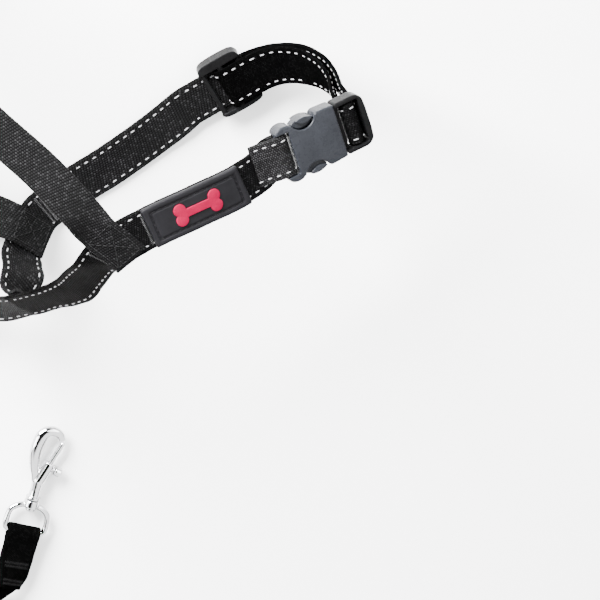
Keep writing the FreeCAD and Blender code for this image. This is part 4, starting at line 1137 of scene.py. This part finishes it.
def melded(name, solids, cuts, local, material, voxel=0.2, smooth=3, shape=None):
    """Solids run together into one moulding and cut; built in mm in a local frame, then placed."""
    def merged(parts, label):
        bm = bmesh.new()
        for part in parts:
            mesh = bpy.data.meshes.new(label)
            part.to_mesh(mesh)
            part.free()
            bm.from_mesh(mesh)
            bpy.data.meshes.remove(mesh)
        return new_piece(label, bm)

    piece = merged(solids, name)
    remeshed(piece, voxel)
    if cuts:
        cutter = merged(cuts, name + "_cut")
        modifier = piece.modifiers.new("cut", "BOOLEAN")
        modifier.operation = "DIFFERENCE"
        modifier.object = cutter
        modifier.solver = "EXACT"
        modifier.use_self = True
        applied(piece)
        bpy.data.objects.remove(cutter)
        remeshed(piece, voxel, smooth)
    if shape:
        for v in piece.data.vertices:
            v.co = shape(v.co)
    piece.data.transform(local.matrix)
    piece.data.materials.clear()
    piece.data.materials.append(material)
    piece.data.shade_smooth()
    return piece


def arc(centre, radius, first, last, count=14):
    return [(centre[0] + radius * math.cos(math.radians(first + (last - first) * i / (count - 1))),
             centre[1] + radius * math.sin(math.radians(first + (last - first) * i / (count - 1))))
            for i in range(count)]


def mirrored(points):
    return points + [(x, -y) for x, y in reversed(points)]


VOXEL, FINE_VOXEL = 0.22, 0.17
BITE, BITE_R = (14.3, 14.7), 6.9
female_side = [(0.0, 8.0), (0.0, 10.4), (0.5, 11.9), (1.7, 12.9), (3.2, 13.4), (5.0, 13.5), (6.5, 13.2),
               (7.5, 12.7)]
female_side = [(p.x, p.y) for p in smooth_line([(x, y, 0) for x, y in female_side], 5)]
female_side += arc(BITE, BITE_R, 199, 344, 26)[1:]
female_side += [(21.3, 13.1), (22.4, 13.2), (27.5, 12.9), (29.4, 12.7), (30.0, 12.3)]
female_parts = [plate(list(reversed(mirrored(female_side))), -3.8, 3.8, 1.0, 4)]
for side in (1, -1):
    for z in (3.25, -3.25):
        rim = [(x, side * y, z) for x, y in arc(BITE, BITE_R + 0.1, 200, 340, 26)]
        female_parts.append(tube(rim, [0.62] * len(rim), 12))
female_cuts = [block(7.7, 31.5, -10.6, 10.6, -2.4, 2.4), block(-2, 6.2, -10.45, 10.45, -8, 8, 0.5)]


def dome(co):
    """The socket's faces are crowned."""
    bulge = max(0.0, 1 - (co.y / 12.8) ** 2) * min(1.0, max(0.0, co.x / 5)) * min(1.0, (31.5 - co.x) / 5)
    if abs(co.z) > 2.6:
        co.z += math.copysign(0.42 * bulge, co.z)
    return co


female_piece = melded("buckle_socket", female_parts, female_cuts, BUCKLE, BUCKLE_PLASTIC, VOXEL, 2, dome)
bar = melded("buckle_socket_bar", [block(0.3, 2.9, -10.8, 10.8, -1.5, 1.5, 0.6)], [], BUCKLE, BUCKLE_PLASTIC,
             VOXEL)
dress(female_piece, "halter", "buckle_plastic", "buckle_female")
dress(bar, "halter", "buckle_plastic")

male_side = ([(30.3, 11.4)] + arc((31.6, 11.3), 1.3, 170, 92, 6) + [(38.2, 12.6)]
             + arc((39.7, 7.6), 5.0, 88, 20, 10) + [(44.8, 4.5)])
male_parts = [plate(list(reversed(mirrored(male_side))), -3.8, 3.8, 1.2, 4)]
male_cuts = [block(32.9, 42.0, -10.6, 10.6, -8, 8, 0.9), block(29.9, 34.0, -10.6, 10.6, 0.3, 8)]
# The male half is the socket's plastic, given the darker plastic as painted shade.
male_piece = melded("buckle_plug", male_parts, male_cuts, BUCKLE, DARK_PLASTIC_AND_SHADE, VOXEL, 2)
male_bar = melded("buckle_plug_bar", [block(35.8, 38.6, -10.9, 10.9, -1.4, 1.4, 0.9),
                                      block(13, 30.9, -2.8, 2.8, -1.8, 1.8, 0.7)], [], BUCKLE, DARK_PLASTIC_AND_SHADE,
                  VOXEL)
dress(male_piece, "male_half", "buckle_plastic", "buckle_male")
dress(male_bar, "male_half", "buckle_plastic")

for name, side, body, node_name in (("buckle_button_nose", 1, "prong_nose", "prong_nose_side"),
                                    ("buckle_button_shoulder", -1, "prong_shoulder", "prong_shoulder_side")):
    parts = []
    # A thin part that goes inside the socket, and a tall part set back in the bite for the squeeze.
    # At full squeeze they still press into the socket.
    for centre, radius, low, last, thick in (((14.3, 15.0), 6.55, 211, 125, 2.1),
                                             ((15.5, 17.3), 6.6, 230, 109, 3.6)):
        lens = arc(centre, radius, low, 540 - low, 22) + arc((14.3, 3.9), 9.7, 57, last, 22)
        if side < 0:
            lens = [(x, -y) for x, y in reversed(lens)]
        parts.append(plate(lens, -thick, thick, 0.6, 4))
    arm_low, arm_high = sorted((8.1 * side, 10.1 * side))
    parts.append(block(15.5, 30.4, arm_low, arm_high, -1.8, 1.8, 0.5))
    piece = melded(name, parts, [], BUCKLE, BUCKLE_PLASTIC, 0.18)
    dress(piece, body, "buckle_plastic", node_name)

# ------------------------------------------------------------------------------------------- slider
RAIL_INSIDE = 10.95
rail_parts = []
for side in (1, -1):
    reach = 15.4 if side > 0 else 13.2
    rim = smooth_line([(x, RAIL_INSIDE + (reach - RAIL_INSIDE) * share, 0) for x, share in (
        (-10.2, 0), (-10.1, 0.3), (-8.9, 0.72), (-6.2, 0.93), (0, 1), (6.2, 0.93), (8.9, 0.72), (10.1, 0.3),
        (10.2, 0))], 5)
    rim = [(p.x, p.y) for p in rim] if side < 0 else [(p.x, p.y) for p in reversed(rim)]
    rail_parts.append(plate([(x, y * side) for x, y in rim], -2.2, 4.1, 1.0, 4))
for x in (-8.7, 8.7):
    rail_parts.append(tube([(x, -12.6, 2.1), (x, 12.6, 2.1)], [1.25, 1.25], 18, flat=0.9))
rail_parts.append(tube([(0, -12.6, 3.25), (0, 12.6, 3.25)], [1.35, 1.35], 18, flat=0.62))


def arch(co):
    """The slider's rails are lower at their ends."""
    if co.z > 2.0:
        co.z -= (co.z - 2.0) * 0.30 * min(1.0, (abs(co.x) / 10) ** 3)
    return co


slider_piece = melded("slider_frame", rail_parts, [], SLIDER, DARK_PLASTIC_AND_SHADE, VOXEL, shape=arch)
dress(slider_piece, "slider_group", "slider_plastic", "slider")


# -------------------------------------------------------------------------------------------- rings
def ring_piece(name, key, body, node_name):
    """A ring of drawn wire, with the slight swelling of its welded joint."""
    centre, radius = RINGS[key]
    heart = at(*centre)
    bm = bmesh.new()
    rings = []
    steps = 120
    for i in range(steps):
        a = math.tau * i / steps
        away = Vector((math.cos(a), math.sin(a), 0))
        gap = min(abs(a - 1.15), math.tau - abs(a - 1.15))
        swelling = 0.07 * math.exp(-(gap / 0.045) ** 2)
        neck = 0.03 * math.exp(-((gap - 0.12) / 0.03) ** 2)
        wire = RING_WIRE * (1 + swelling - neck)
        rings.append([bm.verts.new(heart + (away * (radius + wire * math.cos(b))
                                            + up * (wire * math.sin(b))) * MM)
                      for b in (math.tau * k / 28 for k in range(28))])
    skin(bm, rings + rings[:1])
    bmesh.ops.recalc_face_normals(bm, faces=bm.faces)
    dress(new_piece(name, bm, CHROME), body, "chrome", node_name)


ring_piece("cheek_ring_near", "near", "near_ring", "side_ring_near")
ring_piece("cheek_ring_far", "far", "far_ring", "side_ring_far")
ring_piece("lead_ring", "control", "lead_ring", "control_ring")

# ------------------------------------------------------------------------------- safety link and snap
dress(plain_strap("link_webbing_ring_end", link_ring, LINK_WIDTH, LINK_WEBBING_AND_LOOP_SHADE, (LOOP, None),
                  (RING_CLEAR, link_ring.length)), "safety_link", "black_webbing", "safety_link_ring_end")
dress(plain_strap("link_webbing_snap_end", link_snap, LINK_WIDTH, LINK_WEBBING_AND_LOOP_SHADE), "safety_link", "black_webbing",
      "safety_link_snap_end")

end = link_snap.length
eye_points = [link_snap.place(end - 0.024, 0, 0.0017), link_snap.place(end - 0.016, 0, 0.0017),
              link_snap.place(end - 0.008, 0, 0.0017), link_snap.place(end - 0.003, 0, 0.0019)]
eye_points += [SNAP.matrix @ Vector((2.5 * math.sin(a) - 0.2, 0, 2.5 * math.cos(a)))
               for a in (math.pi * i / 7 for i in range(8))]
eye_points += [link_snap.place(end - 0.0015, 0, -0.0012), link_snap.place(end - 0.004, 0, -0.0002)]
eye_widths = [link_snap.row(end - 0.024 + 0.008 * min(i, 3))[2] for i in range(len(eye_points))]
eye_fold = Ribbon(rows_through(eye_points, eye_widths), 0.0009)
bm = bmesh.new()
add_webbing(bm, eye_fold, LINK_WIDTH, 0.0014)
facing = 1 if eye_fold.rows[0][3].dot(up) > 0 else -1
for s in (0.0025, 0.0105):
    for gap in (0.0, 0.0016):
        route = [(s + gap + 0.0006 * (1 if i % 2 else -1), -0.006 + 0.012 * i / 30) for i in range(31)]
        add_thread(bm, eye_fold, route, facing * 0.00078, 0.00019, 0.00017, 1, side=facing)
dress(new_piece("link_webbing_eye_turn", bm, LINK_WEBBING_AND_LOOP_SHADE, THREAD), "safety_link", "black_webbing",
      "link_eye_loop")

eye_line = smooth_line([(12.6, -2.0, 0), (12.2, -5.0, 0), (9.6, -8.4, 0), (5.5, -9.3, 0), (1.2, -9.1, 0),
                        (0.0, -7.4, 0)], 8) + smooth_line([(0, -6.5, 0), (0, 6.5, 0)], 10)
eye_line += smooth_line([(0.0, 7.4, 0), (1.2, 9.1, 0), (5.5, 9.3, 0), (9.6, 8.4, 0), (12.2, 5.0, 0),
                         (12.6, 2.0, 0)], 8)
eye_parts = [tube(eye_line, [1.35] * len(eye_line), 18),
             tube([(11.6, 0, 0), (12.0, 0, 0), (15.0, 0, 0), (15.5, 0, 0)], [3.0, 3.5, 3.5, 3.1], 28)]
eye_cuts = [tube([(9, 0, 0), (18, 0, 0)], [1.75, 1.75], 24)]
eye_piece = melded("snap_swivel_eye", eye_parts, eye_cuts, SNAP, CHROME, FINE_VOXEL, 2)
dress(eye_piece, "snap_eye_group", "chrome", "snap_eye")

BOLT_START = Vector((24, 0, 0))
BOLT_DIR = Vector((0.955, -0.297, 0)).normalized()
BOLT_SIDE = Vector((BOLT_DIR.y, -BOLT_DIR.x, 0))
HOOK, HOOK_R = Vector((44.4, -0.8, 0)), 5.0


def on_bolt(distance, aside=0.0):
    return BOLT_START + BOLT_DIR * distance + BOLT_SIDE * aside


hook_points = [Vector((23.5, 1.0, 0)), Vector((27.5, 2.2, 0)), Vector((32.0, 3.7, 0)), Vector((37.0, 4.75, 0)),
               Vector((41.5, 4.75, 0))]
hook_points += [HOOK + Vector((math.cos(math.radians(a)), math.sin(math.radians(a)), 0)) * HOOK_R
                for a in (80, 55, 30, 5, -20, -42, -60, -74)]
hook_line = smooth_line(hook_points, 6)
count = len(hook_line)
radii = []
for i in range(count):
    t = i / (count - 1)
    if t < 0.45:
        radii.append(1.45 + 1.5 * math.sin(t / 0.45 * math.pi / 2))
    else:
        radii.append(2.95 - 1.45 * ((t - 0.45) / 0.55) ** 0.9)
snap_parts = [
    tube(hook_line, radii, 24, flat=0.86),
    tube([(10.3, 0, 0), (10.6, 0, 0), (11.5, 0, 0), (11.8, 0, 0)], [2.1, 2.5, 2.5, 2.1], 22),
    tube([(11, 0, 0), (16.6, 0, 0)], [1.55, 1.55], 20),
    tube([(15.8, 0, 0), (16.1, 0, 0), (17.2, 0, 0), (17.6, 0, 0)], [3.0, 3.4, 3.4, 2.7], 26),
    tube([(17, 0, 0), (20, 0, 0), (25, 0, 0)], [2.5, 2.45, 2.6], 24),
    tube([on_bolt(-2.0), on_bolt(-1.0), on_bolt(1.0), on_bolt(10.4), on_bolt(10.9)],
         [1.6, 2.4, 2.75, 2.75, 2.45], 26),
]
snap_cuts = [tube([on_bolt(-0.6), on_bolt(13)], [1.42, 1.42], 20)]
slot_bm = bmesh.new()
bmesh.ops.create_cube(slot_bm, size=1)
slot_turn = Matrix((BOLT_DIR, BOLT_DIR.cross(Vector((0, 0, 1))) * -1, Vector((0, 0, 1)))).transposed()
for v in slot_bm.verts:
    v.co = on_bolt(5.3, 3.0) + slot_turn @ Vector((v.co.x * 10.0, v.co.y * 6.0, v.co.z * 2.6))
bmesh.ops.recalc_face_normals(slot_bm, faces=slot_bm.faces)
snap_cuts.append(slot_bm)
snap_piece = melded("snap_hook", snap_parts, snap_cuts, SNAP, CHROME, FINE_VOXEL, 3)
dress(snap_piece, "snap_group", "chrome", "snap_body")

bolt_parts = [
    tube([on_bolt(7.5), on_bolt(21.2), on_bolt(21.7), on_bolt(22.0)], [1.25, 1.25, 1.1, 0.7], 22),
    tube([on_bolt(8.8, 0), on_bolt(8.8, 5.2)], [1.05, 1.05], 18),
    tube([on_bolt(8.8, 3.4), on_bolt(8.8, 3.7), on_bolt(8.8, 4.3), on_bolt(8.8, 6.2), on_bolt(8.8, 6.6),
          on_bolt(8.8, 6.8)], [1.6, 2.2, 2.35, 2.35, 2.1, 1.5], 26),
]
bolt_piece = melded("snap_thumb_bolt", bolt_parts, [], SNAP, CHROME, 0.15)
dress(bolt_piece, "bolt_group", "chrome", "snap_bolt")

# ------------------------------------------------------------------------------- adjuster straps baked in place
outer.place(0.006, 0, 0)
outer.place(outer.length - 0.004, 0, 0)
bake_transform(outer_piece)
inner.place(INNER_SPLIT, 0, 0)
inner.place(inner.length - 0.004, 0, 0)
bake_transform(inner_high)
inner.place(0.001, 0, 0)
inner.place(INNER_SPLIT - 0.001, 0, 0)
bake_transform(inner_low)

# ---------------------------------------------------------------------------------- floor and lights
bm = bmesh.new()
bmesh.ops.create_grid(bm, x_segments=4, y_segments=4, size=15.0)
for v in bm.verts:
    v.co.z = -0.0001
floor_material, floor_tree, floor_shader = blank("floor_pale", Roughness=0.9, Specular_IOR_Level=0.1)
floor_tree.links.new(ramp(floor_tree, grain(floor_tree, 3.0, 2.0), (0.3, (0.93, 0.93, 0.93)),
                          (0.7, (0.95, 0.95, 0.95))), floor_shader.inputs["Base Color"])
floor = new_piece("floor", bm, floor_material)


def softbox(name, aim, direction, distance, size_x, size_y, power):
    light = bpy.data.lights.new(name, "AREA")
    light.shape = "RECTANGLE"
    light.size, light.size_y = size_x, size_y
    light.energy = power
    lamp = bpy.data.objects.new(name, light)
    scene.collection.objects.link(lamp)
    direction = Vector(direction).normalized()
    lamp.location = Vector(aim) + direction * distance
    lamp.rotation_euler = direction.to_track_quat("Z", "Y").to_euler()


CENTRE = Vector((0.03, 0.0, 0.05))
softbox("key_soft", CENTRE, IMAGE_UP * 0.55 + IMAGE_RIGHT * -0.5 + TOWARD_CAMERA * 0.8, 1.3, 0.9, 0.7, 300)
softbox("fill_soft", CENTRE, IMAGE_RIGHT * 0.9 + TOWARD_CAMERA * 1.3, 1.5, 1.0, 1.0, 26)
softbox("edge_soft", CENTRE, IMAGE_RIGHT * -0.9 + TOWARD_CAMERA * 0.5 + IMAGE_UP * -0.2, 1.4, 0.5, 1.0, 24)

world = bpy.data.worlds.new("studio")
world.use_nodes = True
scene.world = world
tree = world.node_tree
where = node(tree, "ShaderNodeTexCoord").outputs["Generated"]
split = node(tree, "ShaderNodeSeparateXYZ", {0: where})
sweep = calc(tree, "ARCTAN2", split.outputs[1], split.outputs[0])
bands = calc(tree, "SINE", calc(tree, "ADD", calc(tree, "MULTIPLY", sweep, 3.0), 0.7))
walls = ramp(tree, calc(tree, "MULTIPLY_ADD", bands, 0.5, 0.5), (0.40, (0.01, 0.01, 0.01)),
             (0.62, (0.6, 0.6, 0.6)))
height = ramp(tree, split.outputs[2], (0.22, (0, 0, 0)), (0.40, (1, 1, 1)))
dark_side = (TOWARD_CAMERA - IMAGE_RIGHT * 0.16 + IMAGE_UP * 0.05).normalized()
ahead = node(tree, "ShaderNodeVectorMath", {0: where, 1: dark_side},
             operation="DOT_PRODUCT").outputs["Value"]
hood = ramp(tree, ahead, (0.64, (1, 1, 1)), (0.78, (0.008, 0.008, 0.008)))
above = node(tree, "ShaderNodeMix", {"Factor": 1.0, 6: mixed(tree, height, walls, (1.0, 1.0, 1.0)), 7: hood},
             data_type="RGBA", blend_type="MULTIPLY").outputs[2]
tree.links.new(above, tree.nodes["Background"].inputs["Color"])
tree.nodes["Background"].inputs["Strength"].default_value = 3.4
